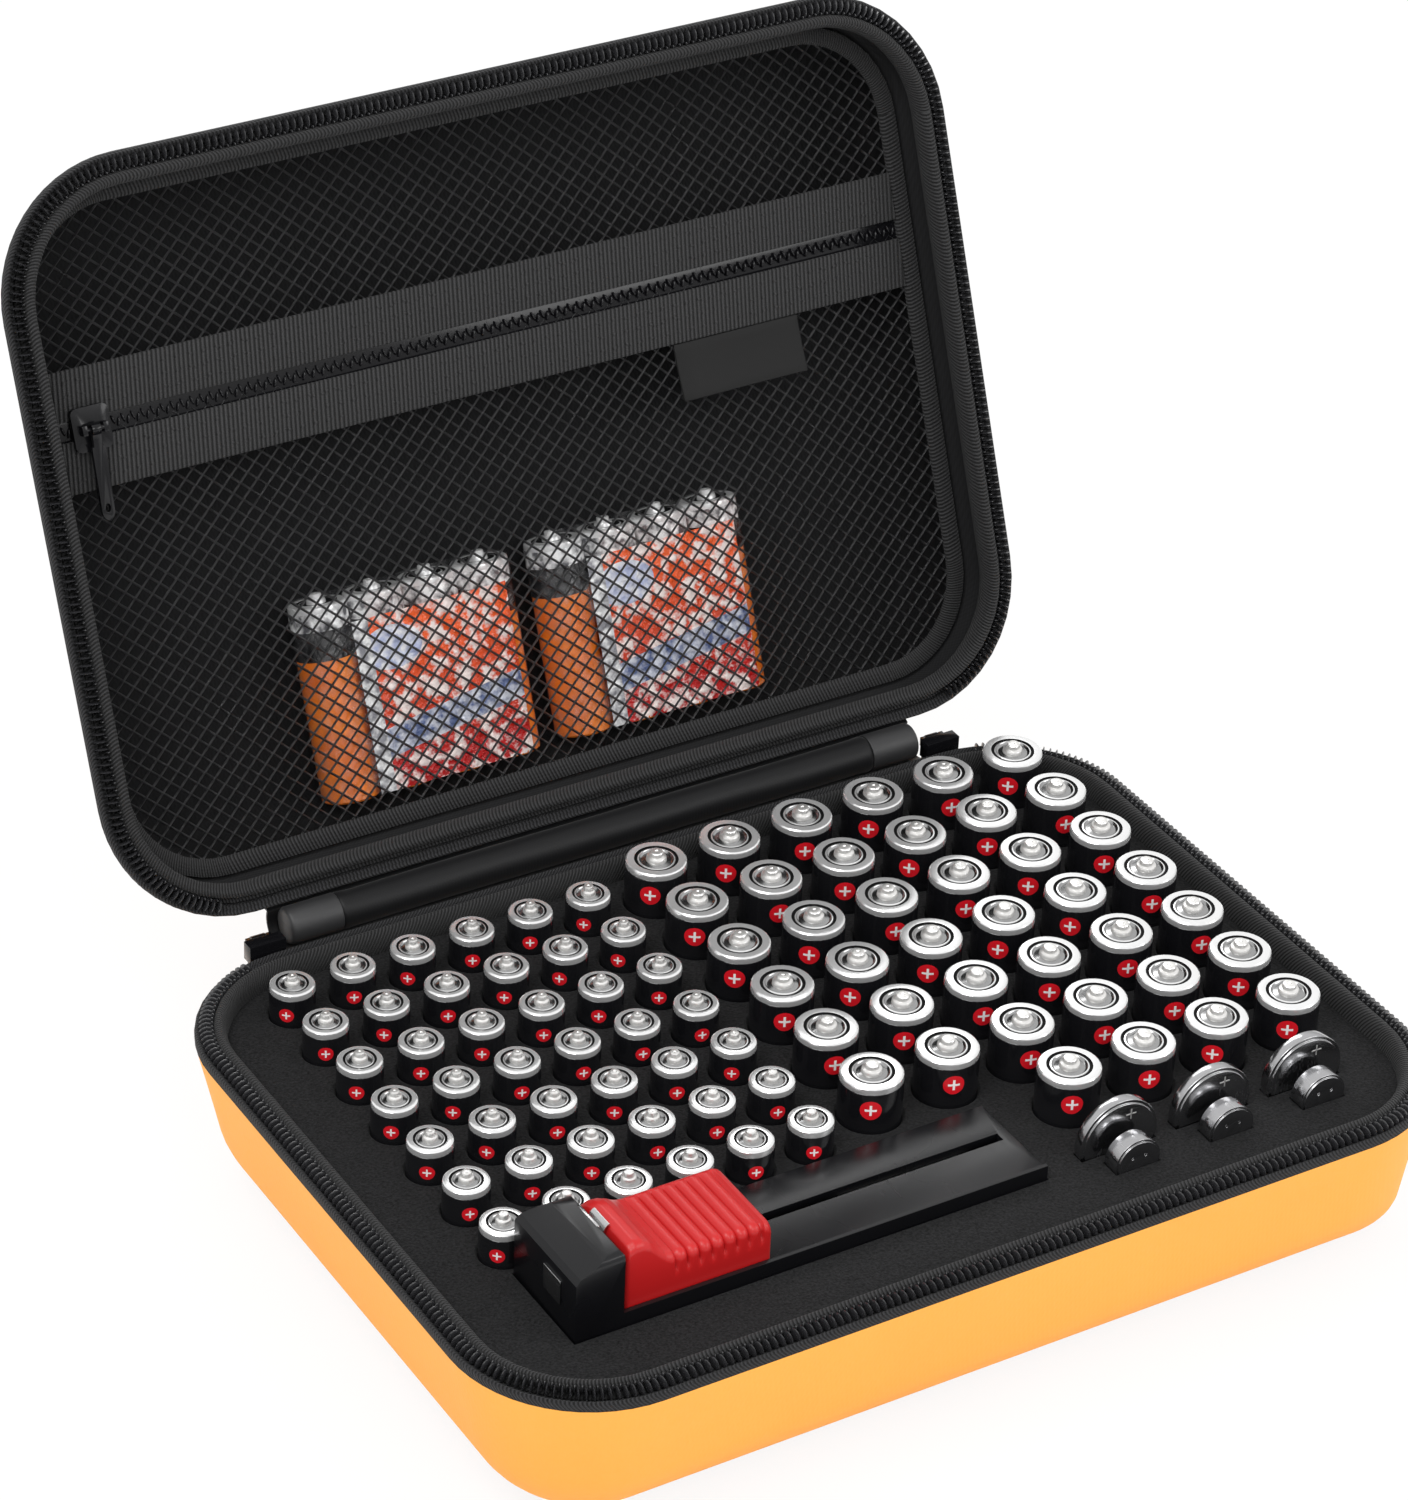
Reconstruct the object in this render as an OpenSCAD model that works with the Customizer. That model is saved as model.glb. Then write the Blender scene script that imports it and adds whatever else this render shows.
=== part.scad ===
// Battery storage case, open: a hard zip-round shell with a foam insert full of cells,
// a slide tester in the foam, and a mesh pocket with two wrapped cell packs in the lid.
// X runs left to right, Y from the front to the hinge, Z up. The table is Z = 0.

/* [Case] */
// Width over the rims, left to right
case_w = 242; // [241:1:246]
// Depth over the rims, front to hinge
case_d = 174; // [174:1:178]
// Corner radius of the rims seen from above
corner_r = 32; // [31.5:0.5:32.5]
// Height of the seam between base and lid above the table
seam_h = 46.5; // [46:0.5:48]
// Height of the lid above the seam
lid_h = 33; // [33:0.5:33.5]
// Thickness of the moulded shells
wall = 2.5; // [2.4:0.1:2.6]
// Slope of the base's front and left sides away from upright, in degrees
base_draft = 14; // [12:0.5:14.5]
// Rounding between the base's front and left sides and its bottom
base_fillet = 24; // [22:0.5:24.5]
// Slope of the base's rear and right sides, in degrees
rear_draft = 4; // [3:0.5:4]
// Rounding between the base's rear and right sides and its bottom
rear_fillet = 6; // [5:0.5:6]
// Slope of the lid sides away from upright, in degrees
lid_draft = 22; // [20:0.5:22.5]
// Rounding between the lid sides and its top
lid_fillet = 8; // [7:0.5:8.5]
// Angle by which the lid stands open, in degrees
lid_open = 112; // [100:1:112]

/* [Rim] */
// Height left above each shell for the tape and the coil
rim_gap = 4.5; // [4.4:0.1:5]
// Thickness of the zip tape
tape_t = 1; // [0.9:0.1:1.1]
// Radius of the zip coil
coil_r = 1.3; // [1.2:0.05:1.35]
// Half length of the rear rim that has no coil
coil_gap = 97; // [96:1:100]
// Reach of the ribbed binding from the rim's outer face
bind_reach = 7.3; // [7.2:0.05:7.4]
// Drop of the foam surface below the seam
foam_drop = 6; // [5.8:0.1:6.4]

/* [Hinge] */
// Distance of the hinge axis behind the rear rim
hinge_out = 4.5; // [4.4:0.1:4.8]
// Radius of the fabric hinge roll
roll_r = 4.5; // [4.2:0.1:4.6]
// Half length of the hinge roll
roll_half = 84; // [80:1:84]
// Length of each grey end tab on the roll
tab_len = 13; // [10:0.5:16]
// Wall of an end tab
tab_wall = 0.5; // [0.4:0.05:0.6]

/* [Large cells] */
// Radius of a large round cell
aa_r = 7.25; // [7:0.05:7.25]
// Length of a large round cell with its terminal
aa_len = 50.5; // [49.5:0.1:50.6]
// Pitch of the large cells left to right
aa_px = 19.65; // [19.5:0.05:19.7]
// Pitch of the large cells front to back
aa_py = 18.5; // [18.3:0.1:18.6]
// Distance of the right column from the right rim
aa_side = 22.7; // [22.6:0.1:23]
// Distance of the back row from the rear rim
aa_back = 17.7; // [17.6:0.1:18]
// Foam left under the large cells
aa_floor = 0.5; // [0.5:0.1:1]

/* [Small cells] */
// Radius of a small round cell
aaa_r = 5.25; // [5:0.05:5.25]
// Length of a small round cell with its terminal
aaa_len = 44.5; // [43.5:0.1:44.6]
// Pitch of the small cells left to right
aaa_px = 15.1; // [14.8:0.1:15.2]
// Pitch of the small cells front to back
aaa_py = 16.1; // [15.8:0.1:16.2]
// Distance of the left column from the left rim
aaa_side = 27.2; // [26.8:0.1:27.6]
// Distance of the back row from the rear rim
aaa_back = 18.5; // [18.3:0.1:18.7]
// Foam left under the small cells
aaa_floor = 3.3; // [3:0.1:3.8]
// Gap between a cell and its bore in the foam
bore_fit = 0.15; // [0.1:0.05:0.3]

/* [Button cells] */
// Radius of a large button cell
coin_r = 10; // [9.8:0.1:10]
// Thickness of a large button cell
coin_t = 3.2; // [2.5:0.1:3.4]
// Height of a large button cell above the foam
coin_up = 12.5; // [11.5:0.1:12.6]
// Distance of the large button cells from the front rim
coin_front = 28.8; // [28.6:0.1:29.4]
// Radius of a small button cell
bean_r = 5.8; // [5.5:0.1:5.9]
// Thickness of a small button cell
bean_t = 5; // [4.2:0.1:5.2]
// Height of a small button cell above the foam
bean_up = 7; // [6.5:0.1:7.2]
// Distance of the small button cells' front face from the front rim
bean_front = 19.8; // [19.4:0.1:20]
// Pitch of the button cells left to right
coin_px = 24.8; // [24.2:0.1:25]

/* [Tester] */
// Length of the tester, left to right
test_l = 116.5; // [115:0.5:118]
// Width of the tester, front to back
test_w = 25.9; // [25.5:0.1:26.2]
// Distance of the tester's left end from the left rim
test_side = 25.7; // [25.2:0.1:26.2]
// Distance of the tester's front face from the front rim
test_front = 25.7; // [25.4:0.1:26]
// Height of the tester's sliding plate above the foam
plate_up = 2.5; // [2.2:0.1:2.8]
// Depth of the tester below its sliding plate
test_deep = 13.5; // [12.5:0.1:14]
// Thickness of the tester's plastic walls
test_wall = 2; // [1.8:0.1:2]
// Height of the tester's head above the foam
head_up = 19; // [18:0.1:19]
// Length of the tester's head, left to right
head_l = 11.5; // [11:0.1:12]
// Width of the slot that guides the slider
slot_w = 2.5; // [2.3:0.1:2.8]
// Length of the slider, left to right
slide_l = 36.2; // [35:0.1:37]
// Travel of the slider
slide_run = 60; // [50:1:60]
// Height of the low, ribbed part of the slider above the plate
slide_low = 9.2; // [8.5:0.1:9.6]
// Spacing of the slider's finger ribs
rib_pitch = 3; // [2.8:0.1:3]
// Clearance between sliding faces
slide_fit = 0.3; // [0.25:0.05:0.4]

/* [Lid pocket] */
// Depth of the pocket front below the lid's mouth
pocket_in = 13.3; // [13.3:0.1:14]
// Thickness of the ribbed webbing strips
web_t = 1.1; // [0.9:0.1:1.2]
// Thickness of the net
net_t = 0.7; // [0.5:0.1:0.8]
// Distance of the pocket zip from the front rim
zip_front = 59.5; // [58.5:0.5:61]
// Width of the upper webbing strip
web_up_w = 11.3; // [10.5:0.1:12]
// Width of the lower webbing strip
web_low_w = 11.7; // [11:0.1:12.5]
// Gap between the webbing strips
web_gap = 4.6; // [4.2:0.1:5]
// Width of the ribbed binding on the net's edge
net_bind = 4; // [3.5:0.1:4.5]
// Width of the blank sewn tag
tag_w = 34; // [32:1:36]
// Height of the blank sewn tag
tag_h = 13.6; // [12:0.1:15]
// Position of the tag's centre to the right of the middle
tag_x = 62; // [55:0.5:66]
// Radius of a cell in a wrapped pack
pack_r = 7; // [6.9:0.05:7.05]
// Length of a wrapped pack
pack_len = 49; // [47:0.5:49.5]
// Position of the left pack's centre to the left of the middle
pack_left_x = 31.3; // [30.5:0.1:34]
// Position of the right pack's centre to the right of the middle
pack_right_x = 30.6; // [30:0.1:34]
// Distance of the packs from the rear rim
pack_rear = 14.3; // [14.2:0.1:16]

/* [Zip pulls] */
// Width of the pocket slider along the zip
pz_l = 9; // [8:0.1:9.6]
// Width of the pocket slider across the zip
pz_w = 10; // [9:0.1:10.4]
// Distance of the pocket slider from the left rim
pz_side = 18.5; // [17.5:0.1:18.5]
// Length of the pocket pull
pull_len = 21; // [18:0.5:22]
// Width of the pulls
pull_w = 5; // [4.4:0.1:5.2]
// Lean of the hanging pocket pull toward the net, in degrees
pull_lean = 5; // [3:0.5:5]
// Height of a main slider
mz_h = 4.5; // [4:0.1:4.5]
// Width of a main slider
mz_w = 9; // [8:0.1:9.6]
// Distance of the main sliders from the middle
mz_x = 90.5; // [90:0.5:91]
// Length of a main pull
main_pull_len = 25; // [20:0.5:28]

/* [Hidden] */
$fn = 64;
hw = case_w / 2;
hd = case_d / 2;
base_h = seam_h - rim_gap;
top_h = lid_h - rim_gap;
foam_z = seam_h - foam_drop;
hinge_y = hd + hinge_out;
hinge_z = seam_h;
touch = 0.05;
loose = 0.3;
skew = 20;
lap = 0.3;
sink = 0.5;
join = 0.7;

function centre_u(h, f, a) = -tan(a) * (h - f * (1 - sin(a))) - f * cos(a);
function wall_u(h, z, o, a) = -tan(a) * (h - z) - o / cos(a);
function arc(cu, cz, r, a0, a1, n) = [for (i = [0 : n]) let(a = a0 + (a1 - a0) * i / n)
    [cu + r * cos(a), cz + r * sin(a)]];

aa_x0 = hw - aa_side - 5 * aa_px;
aa_y0 = hd - aa_back;
aa_z0 = wall + aa_floor;
aaa_x0 = -hw + aaa_side;
aaa_y0 = hd - aaa_back;
aaa_z0 = wall + aaa_floor;

coin_x = [aa_x0 + 2 * aa_px + 1.6, aa_x0 + 2 * aa_px + 1.6 + coin_px, aa_x0 + 2 * aa_px + 1.6 + 2 * coin_px];
coin_y = -hd + coin_front;
coin_z = foam_z + coin_up - coin_r;
bean_y = -hd + bean_front + bean_t;
bean_z = foam_z + bean_up - bean_r;

tx0 = -hw + test_side;
tx1 = tx0 + test_l;
ty0 = -hd + test_front;
ty1 = ty0 + test_w;
plate_z = foam_z + plate_up;
test_z0 = plate_z - test_deep;
cover_t = 6;
split_z = test_z0 + cover_t;
lip_w = 1.1;
lip_up = 1.1;
head_z = foam_z + head_up;
sx0 = tx0 + head_l + slide_fit;
sx1 = sx0 + slide_l;
sy0 = ty0 + lip_w + slide_fit;
sy1 = ty1 - 1.5;
slot_y = (sy0 + sy1) / 2 + 1.8;
slot_x0 = sx0 + 4;
slot_x1 = tx1 - 2.5;
stem_x0 = slot_x0 + slide_fit;
stem_x1 = sx1 + 1.5;
tongue_z = plate_z + slide_low + 1;

mouth_z = lid_h;
face_z = mouth_z - pocket_in;
net_z1 = face_z - web_t;
net_z0 = net_z1 - net_t;
net_in = -wall_u(top_h, net_z0, wall, lid_draft) + 0.2;
net_hw = hw - net_in;
net_hd = hd - net_in;
net_r = corner_r - net_in;
zip_y = -hd + zip_front;
web_end = net_hw - net_bind - 0.1;
pack_z = wall + 0.9 + pack_r;
pack_y1 = hd - pack_rear;
pz_x = -hw + pz_side;
pz_z0 = face_z + loose;
pz_plate = 1.2;
wire_r = 0.6;
eye_bore = wire_r + loose;
eye_r = eye_bore + 0.5;
eye_len = 3.4;
pz_wire_z = pz_z0 + pz_plate + loose + eye_r;

mz_y0 = hd - 0.4 + loose;
mz_t = 3.2;
mz_z0 = base_h + 0.4;
mz_wire_y = mz_y0 + mz_t + loose + eye_r;
mz_wire_z = mz_z0 + mz_h / 2;

// Plan outline: a rectangle with round corners
module plan(a, b, r) {
    square([2 * (a - r), 2 * b], center = true);
    square([2 * a, 2 * (b - r)], center = true);
    for (sx = [-1, 1])
        for (sy = [-1, 1])
            translate([sx * (a - r), sy * (b - r)])
                circle(r);
}

// Carries a section round an outline: its x is measured outward from the outline's face
module around(u = hw, v = hd, r = corner_r) {
    for (q = [0 : 3]) {
        a = q % 2 == 0 ? u : v;
        b = q % 2 == 0 ? v : u;
        rotate(90 * q) {
            translate([a - r, b - r, 0])
                rotate_extrude(angle = 90)
                    translate([r, 0])
                        children();
            translate([a, b - r, 0])
                rotate([90, 0, 0])
                    linear_extrude(2 * (b - r))
                        children();
        }
    }
}

// The lid's parts are drawn with the lid's outside down at z = 0 and its mouth at z = lid_h
module in_lid() {
    translate([0, hinge_y, hinge_z])
        rotate([-lid_open, 0, 0])
            translate([0, -hinge_y, -hinge_z])
                translate([0, 0, seam_h + lid_h])
                    mirror([0, 0, 1])
                        children();
}

// Body with sloping sides and a rounded bottom edge, drawn o inside its outer face
module filled(h, f, a, o, z0, z1, u, v, r) {
    cu = centre_u(h, f, a);
    union() {
        around(u, v, r)
            polygon(concat([[wall_u(h, z1, o, a), z1]], arc(cu, f, f - o, -a, -90, 14),
                [[cu - 2 * join, o], [cu - 2 * join, z1]]));
        translate([0, 0, z0])
            linear_extrude(z1 - z0)
                plan(u + cu - join, v + cu - join, r + cu - join);
    }
}

// The base is steep at the rear and right and slopes in at the front and left
module base_body(o, z0, z1) {
    intersection() {
        filled(base_h, rear_fillet, rear_draft, o, z0, z1, hw, hd, corner_r);
        translate([skew, skew, -sink])
            filled(base_h + sink, base_fillet, base_draft, o, z0, z1 + sink,
                hw + skew + lap, hd + skew + lap, corner_r);
    }
}

// Wall of the moulded lid, from its rim down to the flat of its top
module lid_section() {
    cu = centre_u(top_h, lid_fillet, lid_draft);
    polygon(concat(
        [[0, top_h]],
        arc(cu, lid_fillet, lid_fillet, -lid_draft, -90, 14),
        arc(cu, lid_fillet, lid_fillet - wall, -90, -lid_draft, 14),
        [[wall_u(top_h, top_h, wall, lid_draft), top_h]]
    ));
}

// Zip tape: a flat hem sewn on the rim and an upright edge that carries the coil
module tape_section(h) {
    polygon([
        [-0.4, h], [-0.4, h + rim_gap - 0.8], [-0.4 - tape_t, h + rim_gap - 0.8],
        [-0.4 - tape_t, h + tape_t], [-wall, h + tape_t], [-wall, h]
    ]);
}

module coil_section(h) {
    translate([-0.4 - tape_t - touch - coil_r, h + tape_t + touch + coil_r])
        circle(coil_r);
}

// The coil ring stops short of the hinge
module coil_ring(h) {
    difference() {
        around() coil_section(h);
        translate([-coil_gap, hd - corner_r, h - 1])
            cube([2 * coil_gap, corner_r + 1, rim_gap + 2]);
    }
}

module base_binding_section() {
    t = base_h + rim_gap - 0.8;
    k = 0.4 + tape_t + 2 * coil_r + 0.25;
    polygon([
        [-bind_reach, foam_z], [-wall - 0.4, foam_z], [-wall - 0.4, base_h + tape_t - 0.1],
        [-k, base_h + tape_t - 0.1], [-k, t - 0.5], [-k - 0.8, t], [-k - 1.7, t],
        [-k - 2.7, t - 1], [-bind_reach + 0.1, t - 2.8]
    ]);
}

module lid_binding_section() {
    t = top_h + rim_gap - 0.8;
    k = 0.4 + tape_t + 2 * coil_r + 0.25;
    low = top_h - 4;
    side = wall_u(top_h, low, wall, lid_draft);
    rim = wall_u(top_h, top_h, wall, lid_draft);
    polygon([
        [side - 0.15, low], [rim - 0.2, top_h - 0.1], [rim - 0.2, top_h + tape_t - 0.1],
        [-k, top_h + tape_t - 0.1], [-k, t - 0.5], [-k - 0.8, t], [-k - 1.7, t],
        [-k - 2.7, t - 1], [-bind_reach + 0.1, t - 2.8], [-bind_reach + 0.3, t - 4.7],
        [-bind_reach + 1.8, low + 1], [side - 1.1, low]
    ]);
}

module aa_bores() {
    for (i = [0 : 5])
        for (j = [0 : (i < 2 ? 5 : 6)])
            translate([aa_x0 + i * aa_px, aa_y0 - j * aa_py, aa_z0])
                cylinder(r = aa_r + bore_fit, h = aa_len);
}

module aaa_bores() {
    for (i = [0 : 5])
        for (j = [0 : 6])
            translate([aaa_x0 + i * aaa_px, aaa_y0 - j * aaa_py, aaa_z0])
                cylinder(r = aaa_r + bore_fit, h = aaa_len);
}

module button_slots() {
    for (x = coin_x) {
        translate([x, coin_y + coin_t / 2 + bore_fit, coin_z])
            rotate([90, 0, 0])
                cylinder(r = coin_r + bore_fit, h = coin_t + 2 * bore_fit);
        translate([x, bean_y + bore_fit, bean_z])
            rotate([90, 0, 0])
                cylinder(r = bean_r + bore_fit, h = bean_t + 2 * bore_fit);
        translate([x - bean_r - bore_fit, bean_y - bean_t - bore_fit, bean_z])
            cube([2 * (bean_r + bore_fit), bean_t + 2 * bore_fit, bean_r]);
    }
}

// Round cell: crimped can, shoulder, dished end and raised terminal
module round_cell(r, l) {
    n = r * 0.38;
    rotate_extrude()
        polygon([
            [0, 0], [r - 0.4, 0], [r, 0.4], [r, l - 2.4], [r - 0.25, l - 1.2],
            [r * 0.68, l - 1.2], [r * 0.64, l - 1.6], [n + 0.2, l - 1.6],
            [n, l - 0.2], [n - 0.3, l], [0, l]
        ]);
}

module aa_column(i) {
    color("#1d1f22")
        for (j = [0 : (i < 2 ? 5 : 6)])
            translate([aa_x0 + i * aa_px, aa_y0 - j * aa_py, aa_z0])
                round_cell(aa_r, aa_len);
}

module aaa_column(i) {
    color("#22242a")
        for (j = [0 : 6])
            translate([aaa_x0 + i * aaa_px, aaa_y0 - j * aaa_py, aaa_z0])
                round_cell(aaa_r, aaa_len);
}

// Large button cell, standing on its edge with the plus side to the front
module large_button(i) {
    color("#c9ccd0")
        translate([coin_x[i], coin_y - coin_t / 2, coin_z])
            rotate([-90, 0, 0])
                difference() {
                    union() {
                        cylinder(r = coin_r - 0.8, h = coin_t);
                        translate([0, 0, 0.4])
                            cylinder(r = coin_r, h = coin_t - 0.8);
                    }
                    translate([-1.8, -0.3, -0.1])
                        cube([3.6, 0.6, 0.3]);
                    translate([-0.3, -1.8, -0.1])
                        cube([0.6, 3.6, 0.3]);
                }
}

// Small button cell, standing on its edge, with small air holes in the dark front face
module small_button(i) {
    color("#b9bdc2")
        translate([coin_x[i], bean_y - bean_t, bean_z])
            rotate([-90, 0, 0])
                difference() {
                    union() {
                        cylinder(r = bean_r - 0.5, h = bean_t);
                        translate([0, 0, 0.4])
                            cylinder(r = bean_r, h = bean_t - 0.8);
                    }
                    for (a = [45 : 90 : 315])
                        rotate(a)
                            translate([2.4, 0, -0.1])
                                cylinder(r = 0.35, h = 0.6);
                }
}

module tester_plate_opening() {
    translate([slot_x0, slot_y - slot_w / 2, split_z - 1])
        cube([slot_x1 - slot_x0, slot_w, plate_z - split_z + 2]);
}

// Profile of the head across its length: the left top edge slopes up to the slider side
module head_profile() {
    polygon([
        [0, 0], [0, head_z - split_z - 4.4], [1, head_z - split_z - 3], [6.5, head_z - split_z - 0.5],
        [8, head_z - split_z], [head_l - 0.6, head_z - split_z], [head_l, head_z - split_z - 0.6],
        [head_l, 0]
    ]);
}

module head_side_profile() {
    t = head_z - split_z;
    polygon(concat(
        [[0, 0], [test_w, 0]],
        arc(test_w - 6, t - 6, 6, 0, 90, 8),
        arc(2, t - 2, 2, 90, 180, 4)
    ));
}

// Foot, stem and finger grip of the slider seen from the front
module slider_profile() {
    t = head_z - plate_z - slide_fit;
    l = slide_l;
    polygon([
        [0, 0], [0, t - 1.5], [0.9, t - 0.3], [2.4, t], [4.6, t - 0.3], [6.4, t - 1.5],
        [8, t - 3.6], [11.4, slide_low], [l - 2.2, slide_low], [l - 0.6, slide_low - 0.8],
        [l, slide_low - 2], [l, 0]
    ]);
}

module slider_side_profile() {
    t = head_z - plate_z - slide_fit;
    w = sy1 - sy0;
    polygon(concat(
        [[0, 0], [w, 0]],
        arc(w - 9, t - 9, 9, 0, 90, 8),
        arc(3, t - 3, 3, 90, 180, 5)
    ));
}

// Barrel end and flat bar of a pull, hanging along -z from its wire
module pull_shape(l, w) {
    difference() {
        union() {
            translate([-eye_len / 2, 0, 0])
                rotate([0, 90, 0])
                    cylinder(r = eye_r, h = eye_len);
            translate([-eye_len / 2, -0.6, -6])
                cube([eye_len, 1.2, 6]);
            translate([-w / 2, -0.6, -l + w / 2])
                cube([w, 1.2, l - w / 2 - 4]);
            translate([0, 0.6, -l + w / 2])
                rotate([90, 0, 0])
                    cylinder(r = w / 2, h = 1.2);
        }
        translate([-eye_len, 0, 0])
            rotate([0, 90, 0])
                cylinder(r = eye_bore, h = 2 * eye_len);
        translate([0, 1, -l + w / 2 + 0.4])
            rotate([90, 0, 0])
                cylinder(r = w / 2 - 1.5, h = 2);
    }
}

// Two posts with a wire between them; z points away from the slider
module wire_bridge(rise) {
    for (s = [-1, 1])
        translate([s * (eye_len / 2 + loose + 0.55) - 0.55, -1.1, 0])
            cube([1.1, 2.2, rise + wire_r]);
    translate([-eye_len / 2 - loose - 0.2, 0, rise])
        rotate([0, 90, 0])
            cylinder(r = wire_r, h = eye_len + 2 * loose + 0.4);
}

module main_slider(side) {
    color("#17181a")
        union() {
            translate([side * mz_x - mz_w / 2, mz_y0, mz_z0])
                cube([mz_w, mz_t, mz_h]);
            translate([side * mz_x, mz_y0 + mz_t, mz_wire_z])
                rotate([-90, 0, 0])
                    wire_bridge(loose + eye_r);
        }
}

module main_pull(side) {
    color("#1c1d20")
        translate([side * mz_x, mz_wire_y, mz_wire_z])
            pull_shape(main_pull_len, pull_w);
}

// Net sheet: the stated span of the pocket front with diamond gaps
module net_sheet(y0, y1, nx, ny) {
    margin = net_bind + 1.5;
    w = 2 * (net_hw - margin);
    px = w / nx;
    py = (y1 - y0 - 3) / ny;
    g = 0.74;
    color("#1a1a1c")
        translate([0, 0, net_z0])
            linear_extrude(net_t)
                difference() {
                    intersection() {
                        plan(net_hw, net_hd, net_r);
                        translate([-net_hw, y0])
                            square([2 * net_hw, y1 - y0]);
                    }
                    for (i = [0 : nx - 1])
                        for (j = [0 : ny - 1]) {
                            cx = -w / 2 + (i + 0.5) * px;
                            cy = y0 + 1.5 + (j + 0.5) * py;
                            if (inside_net(abs(cx) + px * g / 2, abs(cy) + py * g / 2))
                                translate([cx, cy])
                                    polygon([[px * g / 2, 0], [0, py * g / 2],
                                        [-px * g / 2, 0], [0, -py * g / 2]]);
                        }
                }
}

function inside_net(x, y) =
    let(m = net_bind + 0.5, a = net_hw - m, b = net_hd - m, r = net_r - m,
        dx = max(0, x - (a - r)), dy = max(0, y - (b - r)))
    sqrt(dx * dx + dy * dy) < r;

module webbing(y0, w) {
    color("#141416")
        translate([-web_end, y0, net_z1])
            cube([2 * web_end, w, web_t]);
}

module pack(x) {
    color("#2b3442")
        translate([x, pack_y1, pack_z])
            rotate([90, 0, 0])
                union() {
                    for (k = [-1.5 : 1 : 1.5])
                        translate([k * (2 * pack_r + 0.1), 0, 0])
                            cylinder(r = pack_r, h = pack_len);
                    translate([-3 * pack_r - 0.15, -pack_r + 0.5, 0.6])
                        cube([6 * pack_r + 0.3, 2 * pack_r - 1, pack_len - 1.2]);
                }
}

module base_shell() {
    color("#e3a51c")
        difference() {
            base_body(0, 0, base_h);
            base_body(wall, wall, base_h + 1);
        }
}

module base_zip_tape() {
    color("#101012")
        around() tape_section(base_h);
}

module base_zip_coil() {
    color("#18181a")
        coil_ring(base_h);
}

module base_binding() {
    color("#121214")
        around() base_binding_section();
}

module foam_insert() {
    color("#202022")
        difference() {
            base_body(wall + 0.2, wall, foam_z);
            aa_bores();
            aaa_bores();
            button_slots();
            translate([tx0 - slide_fit, ty0 - slide_fit, test_z0])
                cube([test_l + 2 * slide_fit, test_w + 2 * slide_fit, test_deep]);
        }
}

module aa_cells_col_1() { aa_column(0); }
module aa_cells_col_2() { aa_column(1); }
module aa_cells_col_3() { aa_column(2); }
module aa_cells_col_4() { aa_column(3); }
module aa_cells_col_5() { aa_column(4); }
module aa_cells_col_6() { aa_column(5); }
module aaa_cells_col_1() { aaa_column(0); }
module aaa_cells_col_2() { aaa_column(1); }
module aaa_cells_col_3() { aaa_column(2); }
module aaa_cells_col_4() { aaa_column(3); }
module aaa_cells_col_5() { aaa_column(4); }
module aaa_cells_col_6() { aaa_column(5); }
module coin_cell_large_1() { large_button(0); }
module coin_cell_large_2() { large_button(1); }
module coin_cell_large_3() { large_button(2); }
module coin_cell_small_1() { small_button(0); }
module coin_cell_small_2() { small_button(1); }
module coin_cell_small_3() { small_button(2); }

// Upper half of the tester: sliding plate with its slot, front lip and head
module tester_housing() {
    inner = plate_z - test_wall;
    color("#151517")
        difference() {
            union() {
                translate([tx0, ty0, split_z])
                    cube([test_l, test_w, plate_z - split_z]);
                translate([tx0, ty0, plate_z - 1])
                    cube([test_l, lip_w, lip_up + 1]);
                intersection() {
                    translate([tx0, ty1, split_z])
                        rotate([90, 0, 0])
                            linear_extrude(test_w)
                                head_profile();
                    translate([tx0, ty0, split_z])
                        rotate([90, 0, 90])
                            linear_extrude(head_l)
                                head_side_profile();
                }
            }
            translate([tx0 + test_wall, ty0 + test_wall, split_z - 1])
                cube([test_l - 2 * test_wall, test_w - 2 * test_wall, inner - split_z + 1]);
            tester_plate_opening();
            translate([tx0 + head_l - 0.8, slot_y - 4, head_z - 8])
                cube([1, 8, 9]);
        }
}

module tester_bottom_cover() {
    color("#141416")
        difference() {
            translate([tx0, ty0, test_z0])
                cube([test_l, test_w, cover_t - touch]);
            translate([tx0 + test_wall, ty0 + test_wall, test_z0 + 1.5])
                cube([test_l - 2 * test_wall, test_w - 2 * test_wall, cover_t]);
        }
}

// Sealed needle meter, hidden in the sunk part of the tester
module tester_meter() {
    color("#d8d8d2")
        translate([tx1 - 40, (ty0 + ty1) / 2 - 8, test_z0 + 1.5])
            cube([32, 16, 5.4]);
}

module tester_side_contact() {
    color("#c2c6ca")
        translate([tx0 - 0.4, ty0 + 6, head_z - 13])
            cube([0.4, 7, 6]);
}

module tester_top_contact() {
    color("#c2c6ca")
        translate([tx0 + head_l - 0.8, slot_y - 3.95, head_z - 8])
            cube([0.75, 7.9, 7.8]);
}

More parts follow.
